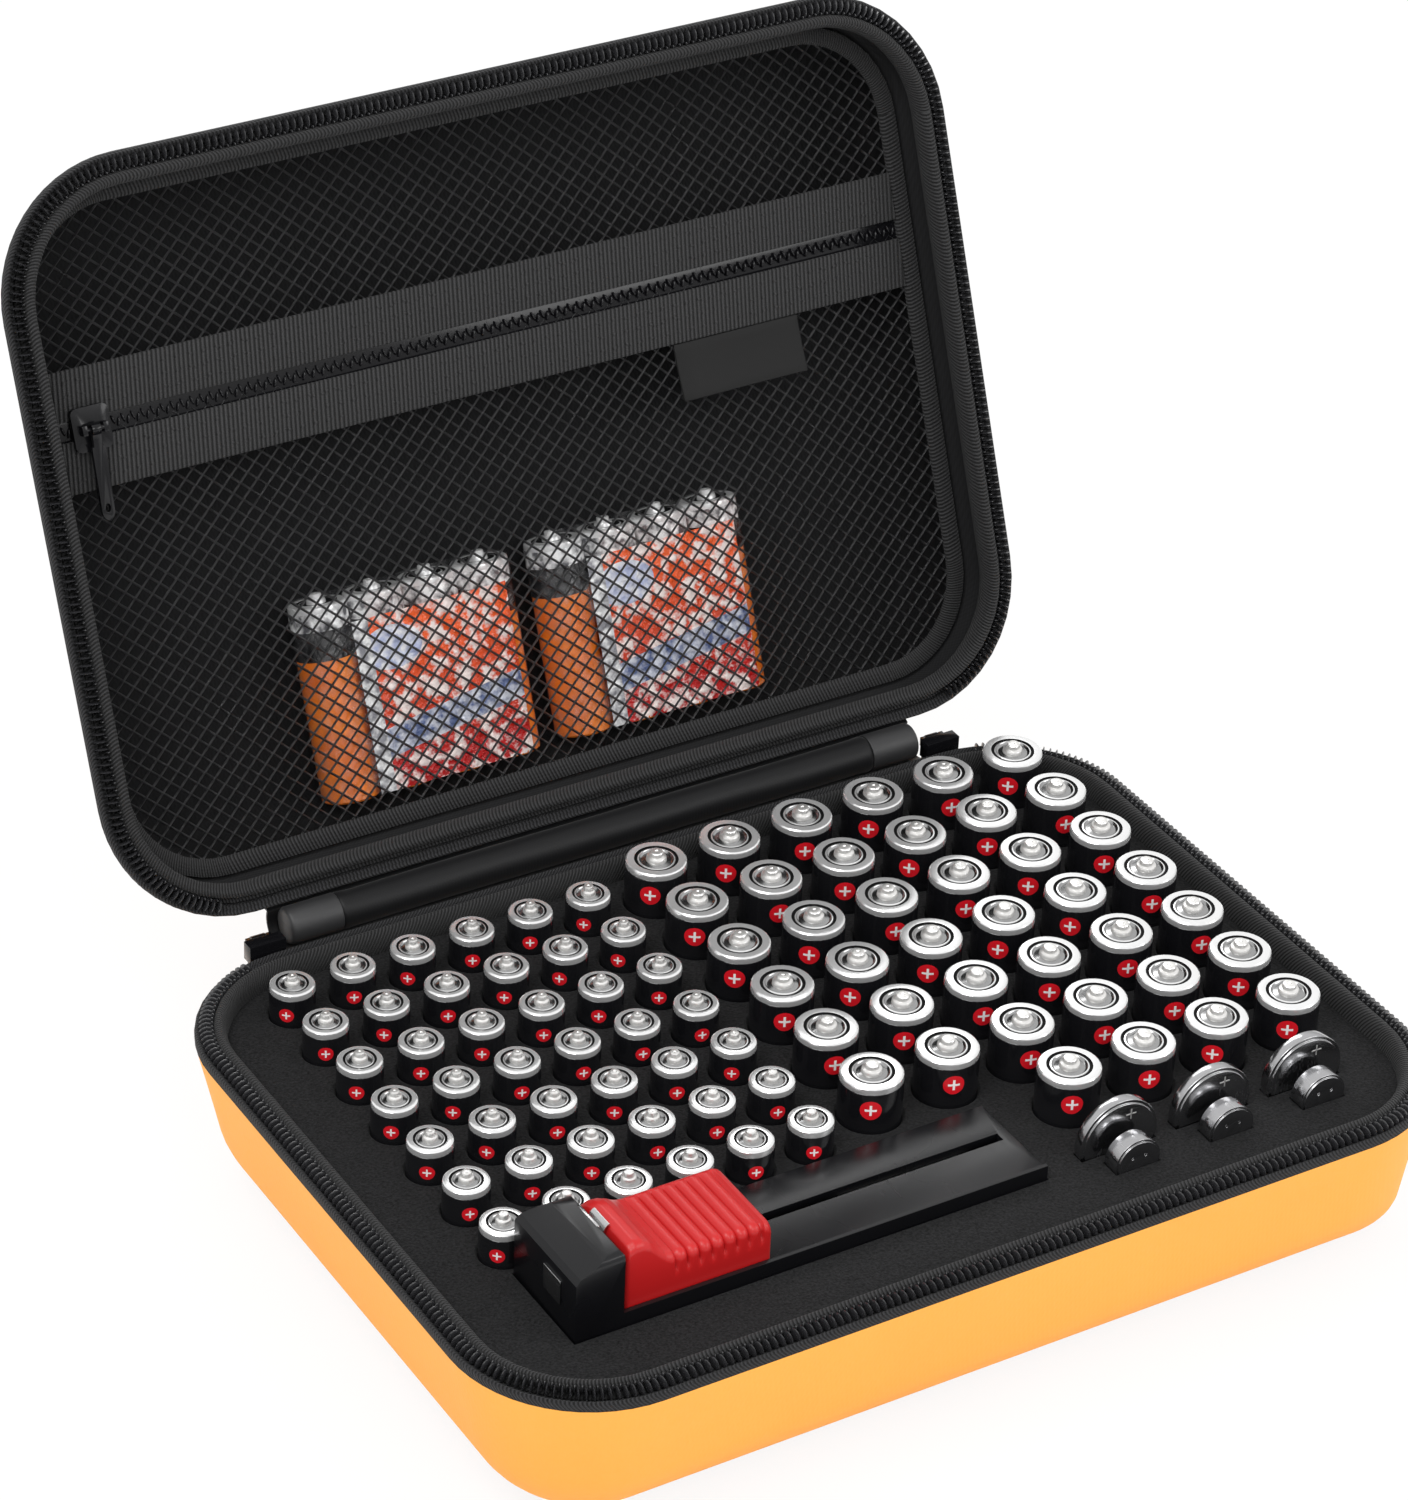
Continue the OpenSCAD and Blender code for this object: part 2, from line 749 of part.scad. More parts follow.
module tester_slider() {
    w = sy1 - sy0;
    under = plate_z - test_wall - slide_fit;
    color("#b3262a")
        difference() {
            union() {
                intersection() {
                    translate([sx0, sy1, plate_z + slide_fit])
                        rotate([90, 0, 0])
                            linear_extrude(w)
                                slider_profile();
                    translate([sx0, sy0, plate_z + slide_fit])
                        rotate([90, 0, 90])
                            linear_extrude(slide_l)
                                slider_side_profile();
                }
                for (k = [0 : 6])
                    translate([sx0 + 14 + k * rib_pitch, sy0 + 2.6, plate_z + slide_fit + slide_low - 0.3]) {
                        rotate([-90, 0, 0])
                            cylinder(r = 1.2, h = w - 5.2);
                        sphere(r = 1.2);
                        translate([0, w - 5.2, 0])
                            sphere(r = 1.2);
                    }
                translate([stem_x0, slot_y - slot_w / 2 + slide_fit, under - 1])
                    cube([stem_x1 - stem_x0 - 2, slot_w - 2 * slide_fit, plate_z - under + 2]);
                translate([stem_x0, slot_y - 4, under - 2])
                    cube([stem_x1 - stem_x0 - 2, 8, 2]);
            }
            translate([sx0 - 1, slot_y - 5, plate_z + 5])
                cube([1.6, 10, 6]);
        }
}

module tester_slider_contact() {
    color("#c2c6ca")
        translate([sx0 + 0.05, slot_y - 4.9, plate_z + 5.1])
            cube([0.5, 9.8, 5.8]);
}

// Fabric hinge: a padded roll on the hinge axis, thinner inside its end tabs
module hinge_roll() {
    thin = roll_r - tab_wall - 0.1;
    color("#161618")
        translate([-roll_half, hinge_y, hinge_z])
            rotate([0, 90, 0])
                union() {
                    translate([0, 0, tab_wall + 0.1])
                        cylinder(r = thin, h = 2 * roll_half - 2 * tab_wall - 0.2);
                    translate([0, 0, tab_len + 0.1])
                        cylinder(r = roll_r, h = 2 * (roll_half - tab_len) - 0.2);
                }
}

module hinge_tab(side) {
    color("#4b4c50")
        translate([side * roll_half, hinge_y, hinge_z])
            rotate([0, -90 * side, 0])
                difference() {
                    rotate_extrude()
                        polygon([[0, 0], [roll_r - 1, 0], [roll_r - 0.3, 0.3], [roll_r, 1], [roll_r, tab_len], [0, tab_len]]);
                    translate([0, 0, tab_wall])
                        cylinder(r = roll_r - tab_wall, h = tab_len);
                }
}

module hinge_end_tab_left() { hinge_tab(-1); }
module hinge_end_tab_right() { hinge_tab(1); }
module zip_slider_left() { main_slider(-1); }
module zip_slider_right() { main_slider(1); }
module zip_pull_left() { main_pull(-1); }
module zip_pull_right() { main_pull(1); }

module lid_shell() {
    cu = centre_u(top_h, lid_fillet, lid_draft);
    color("#e3a51c")
        in_lid()
            union() {
                around() lid_section();
                linear_extrude(wall) plan(hw + cu, hd + cu, corner_r + cu);
            }
}

module lid_zip_tape() {
    color("#101012")
        in_lid() around() tape_section(top_h);
}

module lid_zip_coil() {
    color("#18181a")
        in_lid() coil_ring(top_h);
}

module lid_binding() {
    color("#121214")
        in_lid() around() lid_binding_section();
}

module mesh_upper() {
    in_lid() net_sheet(-net_hd, zip_y - web_gap / 2 - 1, 15, 4);
}

module mesh_lower() {
    in_lid() net_sheet(zip_y + web_gap / 2 + 1, net_hd, 15, 7);
}

// Ribbed tape that sews the net's edge to the lid wall
module mesh_edge_binding() {
    color("#121214")
        in_lid()
            around()
                translate([-net_in - net_bind, net_z1 + touch])
                    square([net_bind, 1]);
}

module pocket_webbing_upper() {
    in_lid() webbing(zip_y - web_gap / 2 - web_up_w, web_up_w);
}

module pocket_webbing_lower() {
    in_lid() webbing(zip_y + web_gap / 2, web_low_w);
}

// Tape between the nets with the closed coil standing up in the middle
module pocket_zip_coil() {
    half = web_gap / 2 + 0.95;
    color("#18181a")
        in_lid()
            translate([web_end, zip_y, 0])
                rotate([90, 0, -90])
                    linear_extrude(2 * web_end)
                        polygon([
                            [-half, net_z0], [half, net_z0], [half, net_z1 - touch],
                            [1.7, net_z1 - touch], [1.5, net_z1 + 0.5], [0.8, net_z1 + 0.75],
                            [0, net_z1 + 0.45],
                            [-0.8, net_z1 + 0.75], [-1.5, net_z1 + 0.5], [-1.7, net_z1 - touch],
                            [-half, net_z1 - touch]
                        ]);
}

module label_tag() {
    r = 1.2;
    color("#3a3a3d")
        in_lid()
            translate([tag_x, zip_y + web_gap / 2 + web_low_w + touch + tag_h / 2, net_z1 + touch])
                linear_extrude(0.8)
                    plan(tag_w / 2, tag_h / 2, r);
}

module battery_pack_left() {
    in_lid() pack(-pack_left_x);
}

module battery_pack_right() {
    in_lid() pack(pack_right_x);
}

module pocket_zip_slider() {
    color("#101113")
        in_lid()
            translate([pz_x, zip_y, pz_z0])
                union() {
                    translate([-pz_l / 2, -pz_w / 2 + 1.5, 0])
                        cube([pz_l, pz_w - 3, pz_plate]);
                    translate([-pz_l / 2 + 1.5, -pz_w / 2, 0])
                        cube([pz_l - 3, pz_w, pz_plate]);
                    for (sx = [-1, 1])
                        for (sy = [-1, 1])
                            translate([sx * (pz_l / 2 - 1.5), sy * (pz_w / 2 - 1.5), 0])
                                cylinder(r = 1.5, h = pz_plate);
                    wire_bridge(pz_plate + loose + eye_r);
                }
}

module pocket_zip_pull() {
    color("#15161a")
        in_lid()
            translate([pz_x, zip_y, pz_wire_z])
                rotate([90 - pull_lean, 0, 0])
                    pull_shape(pull_len, pull_w);
}

base_shell();
base_zip_tape();
base_zip_coil();
base_binding();
foam_insert();
aa_cells_col_1();
aa_cells_col_2();
aa_cells_col_3();
aa_cells_col_4();
aa_cells_col_5();
aa_cells_col_6();
aaa_cells_col_1();
aaa_cells_col_2();
aaa_cells_col_3();
aaa_cells_col_4();
aaa_cells_col_5();
aaa_cells_col_6();
coin_cell_large_1();
coin_cell_large_2();
coin_cell_large_3();
coin_cell_small_1();
coin_cell_small_2();
coin_cell_small_3();
tester_housing();
tester_bottom_cover();
tester_meter();
tester_side_contact();
tester_top_contact();
tester_slider();
tester_slider_contact();
hinge_roll();
hinge_end_tab_left();
hinge_end_tab_right();
zip_slider_left();
zip_slider_right();
zip_pull_left();
zip_pull_right();
lid_shell();
lid_zip_tape();
lid_zip_coil();
lid_binding();
mesh_upper();
mesh_lower();
mesh_edge_binding();
pocket_webbing_upper();
pocket_webbing_lower();
pocket_zip_coil();
label_tag();
battery_pack_left();
battery_pack_right();
pocket_zip_slider();
pocket_zip_pull();
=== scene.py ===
# %% [markdown]
# # An open battery case with a zip all round
# The real object is a hard zip case. Two moulded shells of foam and coated cloth meet at a zip, and
# a black foam block in the base holds round cells, button cells and a small slide tester. A net
# pocket in the lid holds two wrapped packs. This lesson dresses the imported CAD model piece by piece.
# The CAD frame is loaded first, because every piece is placed from its numbers and rides on its bodies.

# %% Load the fixed frame
import random
from math import atan2, cos, degrees, exp, hypot, inf, pi, radians, sin, sqrt, tan

import bmesh
import bpy
from mathutils import Matrix, Vector


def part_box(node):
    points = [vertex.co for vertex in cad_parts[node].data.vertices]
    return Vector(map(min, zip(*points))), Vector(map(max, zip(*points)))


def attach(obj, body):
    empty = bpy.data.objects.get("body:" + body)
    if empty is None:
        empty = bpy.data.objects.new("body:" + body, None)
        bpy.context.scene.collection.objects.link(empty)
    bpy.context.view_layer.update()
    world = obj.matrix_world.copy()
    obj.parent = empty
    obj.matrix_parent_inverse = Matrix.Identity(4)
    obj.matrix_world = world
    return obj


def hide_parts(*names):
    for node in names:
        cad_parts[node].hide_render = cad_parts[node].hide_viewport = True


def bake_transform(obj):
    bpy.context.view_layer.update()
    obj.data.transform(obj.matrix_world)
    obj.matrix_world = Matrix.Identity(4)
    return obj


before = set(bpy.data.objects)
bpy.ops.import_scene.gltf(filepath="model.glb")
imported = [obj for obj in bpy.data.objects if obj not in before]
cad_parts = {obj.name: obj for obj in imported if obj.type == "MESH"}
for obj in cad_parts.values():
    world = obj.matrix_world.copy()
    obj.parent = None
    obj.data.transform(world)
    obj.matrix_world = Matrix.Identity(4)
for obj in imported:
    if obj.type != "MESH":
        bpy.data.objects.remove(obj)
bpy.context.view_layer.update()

# %% [markdown]
# The case is measured in millimetres and Blender works in metres, so one constant turns one into
# the other. The rims of both halves share one outline: a rectangle with round corners. Everything
# that runs round the case is placed by its distance inside that outline and its height.

# %% Sizes of the case
MM = 0.001
RIM_W, RIM_D, RIM_R = 121.0, 87.0, 32.0
CORE_W, CORE_D = RIM_W - RIM_R, RIM_D - RIM_R
FOAM_TOP, SEAM, LID_TOP = 40.5, 46.5, 79.5
HINGE = Vector((0, 91.5, 46.5)) * MM
LID_OPEN = radians(112)
NET_TOP = LID_TOP - 18.6
ZIP_Y = -27.5
print("outline in mm:", 2 * RIM_W, "by", 2 * RIM_D)

# %% [markdown]
# A finished piece is one mesh object at the origin. It gets its materials, shades smooth except
# where its faces meet sharply, and rides on a CAD body. Pieces of the lid are drawn as if the lid
# were shut, because upright shapes are easier to think about, and are swung open about the hinge.

# %% Turn a bmesh into a piece
def mm(x, y, z):
    return Vector((x, y, z)) * MM


def face_out(bm):
    bmesh.ops.recalc_face_normals(bm, faces=bm.faces)


def weld(bm, near=0.01):
    bmesh.ops.remove_doubles(bm, verts=bm.verts, dist=near * MM)


def mesh_from(bm, name):
    mesh = bpy.data.meshes.new(name)
    bm.to_mesh(mesh)
    bm.free()
    return mesh


def finish_piece(bm, name, body, paints, replaces=(), crease=35):
    if body == "lid":
        turn = Matrix.Rotation(-LID_OPEN, 3, "X")
        bmesh.ops.rotate(bm, cent=HINGE, matrix=turn, verts=bm.verts)
    mesh = mesh_from(bm, name)
    for paint in paints:
        mesh.materials.append(paint)
    mesh.shade_smooth()
    mesh.set_sharp_from_angle(angle=radians(crease))
    piece = bpy.data.objects.new(name, mesh)
    bpy.context.collection.objects.link(piece)
    if body:
        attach(piece, body)
    if replaces:
        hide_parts(*replaces)
    print(name, len(mesh.polygons), "faces")
    return piece


# %% [markdown]
# Many finishes here share an effect: the ribs of woven tape, the crossing threads of plain cloth,
# the grain of foam and moulded plastic, and fine scuffs. Each effect is a node group, built once,
# with its own inputs, so that every material can use it at its own scale.

# %% Helpers for materials
def new_group(name, inputs, outputs):
    tree = bpy.data.node_groups.new(name, "ShaderNodeTree")
    for label, kind in inputs:
        tree.interface.new_socket(label, in_out="INPUT", socket_type="NodeSocket" + kind)
    for label, kind in outputs:
        tree.interface.new_socket(label, in_out="OUTPUT", socket_type="NodeSocket" + kind)
    return tree, tree.nodes.new("NodeGroupInput"), tree.nodes.new("NodeGroupOutput")


def calc(tree, operation, *values):
    node = tree.nodes.new("ShaderNodeMath")
    node.operation = operation
    for i, value in enumerate(values):
        if isinstance(value, (int, float)):
            node.inputs[i].default_value = value
        else:
            tree.links.new(value, node.inputs[i])
    return node.outputs[0]


def noise_node(tree, place, scale, detail=3.0, rough=0.5):
    node = tree.nodes.new("ShaderNodeTexNoise")
    node.inputs["Detail"].default_value = detail
    node.inputs["Roughness"].default_value = rough
    tree.links.new(place, node.inputs["Vector"])
    if isinstance(scale, (int, float)):
        node.inputs["Scale"].default_value = scale
    else:
        tree.links.new(scale, node.inputs["Scale"])
    return node.outputs["Fac"]


def split_node(tree, place):
    split = tree.nodes.new("ShaderNodeSeparateXYZ")
    tree.links.new(place, split.inputs[0])
    return split.outputs


def mix_node(tree, mask, one, other):
    node = tree.nodes.new("ShaderNodeMix")
    node.data_type = "RGBA"
    tree.links.new(mask, node.inputs[0])
    for socket, value in ((node.inputs[6], one), (node.inputs[7], other)):
        if isinstance(value, tuple):
            socket.default_value = (*value, 1)
        else:
            tree.links.new(value, socket)
    return node.outputs[2]


# %% [markdown]
# Woven tape has round ribs that cross it. Each rib is half a sine wave, and a slant makes the ribs
# lean as they do in a twill. A second, finer wave along each rib gives the single threads.

# %% Group: ribs of woven tape
def make_rib_group():
    tree, enter, leave = new_group(
        "Tape ribs",
        [("Along", "Float"), ("Across", "Float"), ("Pitch", "Float"), ("Slant", "Float")],
        [("Height", "Float"), ("Shade", "Float")],
    )
    along, across, pitch, slant = [enter.outputs[i] for i in range(4)]
    leaned = calc(tree, "ADD", along, calc(tree, "MULTIPLY", across, slant))
    turns = calc(tree, "DIVIDE", leaned, pitch)
    finer = calc(tree, "DIVIDE", across, calc(tree, "MULTIPLY", pitch, 0.45))
    rib, thread = [
        calc(tree, "ABSOLUTE", calc(tree, "SINE", calc(tree, "MULTIPLY", count, pi)))
        for count in (turns, finer)
    ]
    height = calc(tree, "ADD", calc(tree, "MULTIPLY", rib, 0.8), calc(tree, "MULTIPLY", thread, 0.2))
    tree.links.new(height, leave.inputs["Height"])
    tree.links.new(calc(tree, "MULTIPLY", rib, rib), leave.inputs["Shade"])
    return tree


RIBS = make_rib_group()
print(RIBS.name)


# %% [markdown]
# Plain cloth is threads that pass over and under each other. The product of two waves gives that
# chequer of high and low threads, and a little noise keeps it from looking printed.

# %% Group: plain weave
def make_weave_group():
    tree, enter, leave = new_group(
        "Plain weave", [("Place", "Vector"), ("Thread", "Float")], [("Height", "Float"), ("Shade", "Float")]
    )
    sides = []
    for side in split_node(tree, enter.outputs["Place"])[:2]:
        turns = calc(tree, "DIVIDE", side, enter.outputs["Thread"])
        sides.append(calc(tree, "SINE", calc(tree, "MULTIPLY", turns, pi)))
    cross = calc(tree, "MULTIPLY", sides[0], sides[1])
    height = calc(tree, "MULTIPLY_ADD", cross, 0.5, 0.5)
    speckle = noise_node(tree, enter.outputs["Place"], 1400, 2)
    mixed = calc(tree, "ADD", calc(tree, "MULTIPLY", height, 0.8), calc(tree, "MULTIPLY", speckle, 0.3))
    tree.links.new(mixed, leave.inputs["Height"])
    tree.links.new(mixed, leave.inputs["Shade"])
    return tree


WEAVE = make_weave_group()
print(WEAVE.name)


# %% [markdown]
# Foam, moulded plastic and plated steel all carry a fine grain and a slow change of tone. Both come
# from noise at two scales. Handling leaves short scratches, which are a stretched noise cut at a level.

# %% Groups: grain and scuffs
def make_grain_group():
    tree, enter, leave = new_group(
        "Fine grain", [("Place", "Vector"), ("Scale", "Float")], [("Height", "Float"), ("Tone", "Float")]
    )
    tree.links.new(noise_node(tree, enter.outputs["Place"], enter.outputs["Scale"], 4, 0.6), leave.inputs["Height"])
    slow = calc(tree, "MULTIPLY", enter.outputs["Scale"], 0.03)
    tree.links.new(noise_node(tree, enter.outputs["Place"], slow, 3, 0.5), leave.inputs["Tone"])
    return tree


def make_scuff_group():
    tree, enter, leave = new_group("Scuffs", [("Place", "Vector"), ("Amount", "Float")], [("Mask", "Float")])
    stretch = tree.nodes.new("ShaderNodeMapping")
    stretch.inputs["Rotation"].default_value = (0.3, 0.2, 0.7)
    stretch.inputs["Scale"].default_value = (1500, 60, 400)
    tree.links.new(enter.outputs["Place"], stretch.inputs["Vector"])
    lines = noise_node(tree, stretch.outputs[0], 1.0, 2, 0.5)
    where = noise_node(tree, enter.outputs["Place"], 90, 2, 0.5)
    cut = calc(tree, "GREATER_THAN", calc(tree, "MULTIPLY", lines, where), 0.41)
    tree.links.new(calc(tree, "MULTIPLY", cut, enter.outputs["Amount"]), leave.inputs["Mask"])
    return tree


GRAIN, SCUFFS = make_grain_group(), make_scuff_group()
print(GRAIN.name, SCUFFS.name)


# %% Helpers that start a paint and wire a group into it
def start_paint(name, colour, rough, metal=0.0, **plain):
    paint = bpy.data.materials.new(name)
    paint.use_nodes = True
    surface = paint.node_tree.nodes["Principled BSDF"]
    surface.inputs["Base Color"].default_value = (*colour, 1)
    surface.inputs["Roughness"].default_value = rough
    surface.inputs["Metallic"].default_value = metal
    for socket, value in plain.items():
        surface.inputs[socket.replace("_", " ")].default_value = value
    return paint, paint.node_tree, surface


def place_node(tree, kind="Object"):
    return tree.nodes.new("ShaderNodeTexCoord").outputs[kind]


def feed(value, surface, socket="Base Color"):
    surface.id_data.links.new(value, surface.inputs[socket])


def group_node(tree, group, **inputs):
    node = tree.nodes.new("ShaderNodeGroup")
    node.node_tree = group
    for label, value in inputs.items():
        if isinstance(value, (int, float)):
            node.inputs[label].default_value = value
        else:
            tree.links.new(value, node.inputs[label])
    return node


def grey(level, blue=0.001):
    return (level, level, level + blue)


def tone_node(tree, value, low, high, ends=(0.0, 1.0)):
    ramp = tree.nodes.new("ShaderNodeValToRGB")
    for stop, colour, end in zip(ramp.color_ramp.elements, (low, high), ends):
        stop.color, stop.position = (*colour, 1), end
    tree.links.new(value, ramp.inputs[0])
    return ramp.outputs["Color"]


def bump_node(tree, surface, height, distance):
    bump = tree.nodes.new("ShaderNodeBump")
    bump.inputs["Distance"].default_value = distance
    bump.inputs["Strength"].default_value = 1.0
    tree.links.new(height, bump.inputs["Height"])
    feed(bump.outputs[0], surface, "Normal")


def range_node(tree, value, low, high, source=(0.0, 1.0)):
    node = tree.nodes.new("ShaderNodeMapRange")
    for label, number in zip(("From Min", "From Max", "To Min", "To Max"), (*source, low, high)):
        node.inputs[label].default_value = number
    tree.links.new(value, node.inputs["Value"])
    return node.outputs[0]


# %% [markdown]
# The outside of the case is a smooth coated cloth in a warm yellow-orange, with hardly any gloss.
# The lining, the tapes and the hinge are black polyester. Black cloth is never quite black: its
# raised threads catch light, so each paint runs between two dark tones along its weave.

# %% Paints of cloth, tape and foam
def make_shell_paint():
    paint, tree, surface = start_paint("coated yellow cloth", (0.88, 0.375, 0.046), 0.72, Sheen_Weight=0.04)
    place = place_node(tree)
    grain = group_node(tree, GRAIN, Place=place, Scale=900.0)
    colour = tone_node(tree, grain.outputs["Tone"], (0.86, 0.355, 0.042), (0.90, 0.395, 0.050))
    feed(colour, surface)
    feed(range_node(tree, grain.outputs["Height"], 0.62, 0.82), surface, "Roughness")
    weave = group_node(tree, WEAVE, Place=place, Thread=0.0006)
    bump_node(tree, surface, weave.outputs["Height"], 0.00002)
    return paint


def make_cloth_paint(name, low, high, thread, rough=0.85, depth=0.00006):
    paint, tree, surface = start_paint(name, high, rough, Sheen_Weight=0.05, Specular_IOR_Level=0.25)
    weave = group_node(tree, WEAVE, Place=place_node(tree), Thread=thread)
    feed(tone_node(tree, weave.outputs["Shade"], low, high), surface)
    bump_node(tree, surface, weave.outputs["Height"], depth)
    return paint


def make_tape_paint(name, low, high, pitch, slant, depth=0.0003):
    paint, tree, surface = start_paint(name, high, 0.8, Sheen_Weight=0.05, Specular_IOR_Level=0.3)
    along, across, _ = split_node(tree, place_node(tree, "UV"))
    ribs = group_node(tree, RIBS, Along=along, Across=across, Pitch=pitch, Slant=slant)
    feed(tone_node(tree, ribs.outputs["Shade"], low, high), surface)
    bump_node(tree, surface, ribs.outputs["Height"], depth)
    return paint


SHELL_CLOTH = make_shell_paint()
LINING = make_cloth_paint("black lining cloth", grey(0.002, 0), grey(0.008), 0.0005)
BINDING = make_tape_paint("ribbed black binding", grey(0, 0), grey(0.030), 0.0009, 0.6, 0.00035)
ZIP_TAPE = make_tape_paint("black zip tape", grey(0.001, 0), grey(0.026, 0.002), 0.0009, 1.0)
WEBBING = make_tape_paint("black webbing", grey(0.001, 0), grey(0.036), 0.0011, 0.12)
HINGE_CLOTH = make_cloth_paint("smooth hinge cloth", grey(0.001, 0), grey(0.004), 0.0004, 0.5, 0.00002)
print("cloth paints:", SHELL_CLOTH.name, LINING.name, BINDING.name)


# %% Paint of the foam
def make_foam_paint():
    paint, tree, surface = start_paint("black foam", grey(0.012, 0), 0.92, Sheen_Weight=0.03, Specular_IOR_Level=0.2)
    cells = group_node(tree, GRAIN, Place=place_node(tree), Scale=1600.0)
    colour = tone_node(tree, cells.outputs["Height"], grey(0, 0), grey(0.021), (0.26, 0.78))
    feed(colour, surface)
    bump_node(tree, surface, cells.outputs["Height"], 0.0003)
    return paint


FOAM = make_foam_paint()
print(FOAM.name)


# %% [markdown]
# The hard parts are nylon zip teeth, black enamelled sliders, glossy and satin plastic and plated
# steel. Their gloss changes a little over the surface, and handling has left faint scuffs.

# %% Paints of plastic and metal
def make_hard_paint(name, colour, rough, metal=0.0, scuff=0.25, grain=700.0, depth=0.00002, **plain):
    paint, tree, surface = start_paint(name, colour, rough, metal, **plain)
    place = place_node(tree)
    fine = group_node(tree, GRAIN, Place=place, Scale=grain)
    marks = group_node(tree, SCUFFS, Place=place, Amount=scuff)
    slow = range_node(tree, fine.outputs["Tone"], max(0.02, rough - 0.07), rough + 0.07)
    feed(calc(tree, "ADD", slow, marks.outputs["Mask"]), surface, "Roughness")
    low = tuple(0.82 * c for c in colour)
    feed(tone_node(tree, fine.outputs["Tone"], low, colour), surface)
    bump_node(tree, surface, fine.outputs["Height"], depth)
    return paint


STEEL = {"grain": 900.0, "depth": 0.000006}
CHROME = make_hard_paint("bright plated steel", grey(0.93, 0), 0.17, 0.72, 0.08, **STEEL)
SATIN_STEEL = make_hard_paint("satin terminal steel", (0.88, 0.87, 0.85), 0.30, 0.8, 0.05, **STEEL)
DISC_STEEL = make_hard_paint("shaded disc steel", grey(0.42, 0), 0.20, 1.0, 0.05, **STEEL)
BUTTON_STEEL = make_hard_paint("polished button steel", grey(0.52, 0.01), 0.17, 1.0, 0.12, **STEEL)
BUTTON_FACE = make_hard_paint("dark button face", grey(0.020), 0.25, 0.0, 0.2)
CONTACT = make_hard_paint("spring steel", grey(0.62, 0), 0.25, 1.0)
TEETH = make_hard_paint(
    "black nylon teeth", grey(0.024, 0.002), 0.22, 0.0, 0.0, 1500.0, 0.00001, Specular_IOR_Level=1.0
)
CASE_PLASTIC = make_hard_paint(
    "black tester plastic", grey(0.004), 0.27, 0.0, 0.06, depth=0.00001, Specular_IOR_Level=0.36
)
GRIP_PLASTIC = make_hard_paint(
    "red grip plastic", (0.50, 0.011, 0.012), 0.34, 0.0, 0.06, 500.0, Specular_IOR_Level=0.4
)
ENAMEL = make_hard_paint("black enamel", grey(0.005), 0.16, 0.0, 0.10, depth=0.00001, Specular_IOR_Level=0.3)
TAB_RUBBER = make_hard_paint("dark grey rubber", grey(0.022), 0.5, 0.0, 0.1, 900.0, 0.00006)
METER_WHITE = make_hard_paint("white meter body", (0.72, 0.72, 0.70), 0.45)
print("hard paints:", CHROME.name, CASE_PLASTIC.name, GRIP_PLASTIC.name)


# %% [markdown]
# A shell is one wall that runs from its rim down to a flat bottom. Each point of the outline moves
# inward along its own outward direction while it goes down, so corners stay round. The base leans
# in more at the front and left than at the rear and right, so its two profiles are mixed by
# direction, and the corner between them turns smoothly from one to the other.

# %% Helpers: the outline and its profiles
def outward(x, y):
    cx = max(-CORE_W, min(CORE_W, x))
    cy = max(-CORE_D, min(CORE_D, y))
    d = Vector((x - cx, y - cy))
    return (cx, cy), (d.normalized() if d.length > 1e-6 else Vector((1, 0)))


def wall_profile(fillet, lean, height, inside, steps=12):
    t, c, s = [turn(radians(lean)) for turn in (tan, cos, sin)]
    centre = -t * (height - fillet * (1 - s)) - fillet * c
    r = fillet - inside
    points = [(-inside / c, height)]
    top = (centre + r * c, fillet - r * s)
    for k in (1, 2):
        points.append((points[0][0] + (top[0] - points[0][0]) * k / 3, height + (top[1] - height) * k / 3))
    for k in range(steps + 1):
        a = radians(-lean - (90 - lean) * k / steps)
        points.append((centre + r * cos(a), fillet + r * sin(a)))
    return points


def rim_loop(bm, z, segments=14):
    bmesh.ops.create_grid(bm, x_segments=1, y_segments=1, size=1)
    bmesh.ops.scale(bm, vec=(RIM_W * MM, RIM_D * MM, 1), verts=bm.verts)
    bmesh.ops.translate(bm, vec=(0, 0, z * MM), verts=bm.verts)
    bmesh.ops.bevel(
        bm, geom=list(bm.verts), offset=RIM_R * MM, segments=segments, profile=0.5, affect="VERTICES", material=-1
    )
    bmesh.ops.delete(bm, geom=list(bm.faces), context="FACES_ONLY")
    return list(bm.edges)


def extrude(bm, edges):
    made = bmesh.ops.extrude_edge_only(bm, edges=edges)["geom"]
    verts = [g for g in made if isinstance(g, bmesh.types.BMVert)]
    fresh = set(verts)
    return verts, [g for g in made if isinstance(g, bmesh.types.BMEdge) and fresh.issuperset(g.verts)]


def wall_point(pair, flip=False, top=LID_TOP):
    def place(v):
        (cx, cy), n = outward(v.co.x / MM, v.co.y / MM)
        t = max(0.0, min(1.0, (n.x + n.y + 1) / 2))
        t = t * t * (3 - 2 * t)
        u, z = [front * (1 - t) + rear * t for front, rear in zip(*pair)]
        z = LID_TOP - z if flip else min(top, z)
        v.co = Vector((cx + n.x * (RIM_R + u), cy + n.y * (RIM_R + u), z)) * MM

    return place


def next_ring(bm, edges, place):
    verts, edges = extrude(bm, edges)
    for v in verts:
        place(v)
    return edges


print("straight sides:", 2 * CORE_W, 2 * CORE_D)


# %% The wall of one shell
WALL = 2.4
BASE_FRONT, BASE_REAR, LID_WALL = (24, 14, 42.0), (7, 5, 42.0), (8, 22, 28.5)


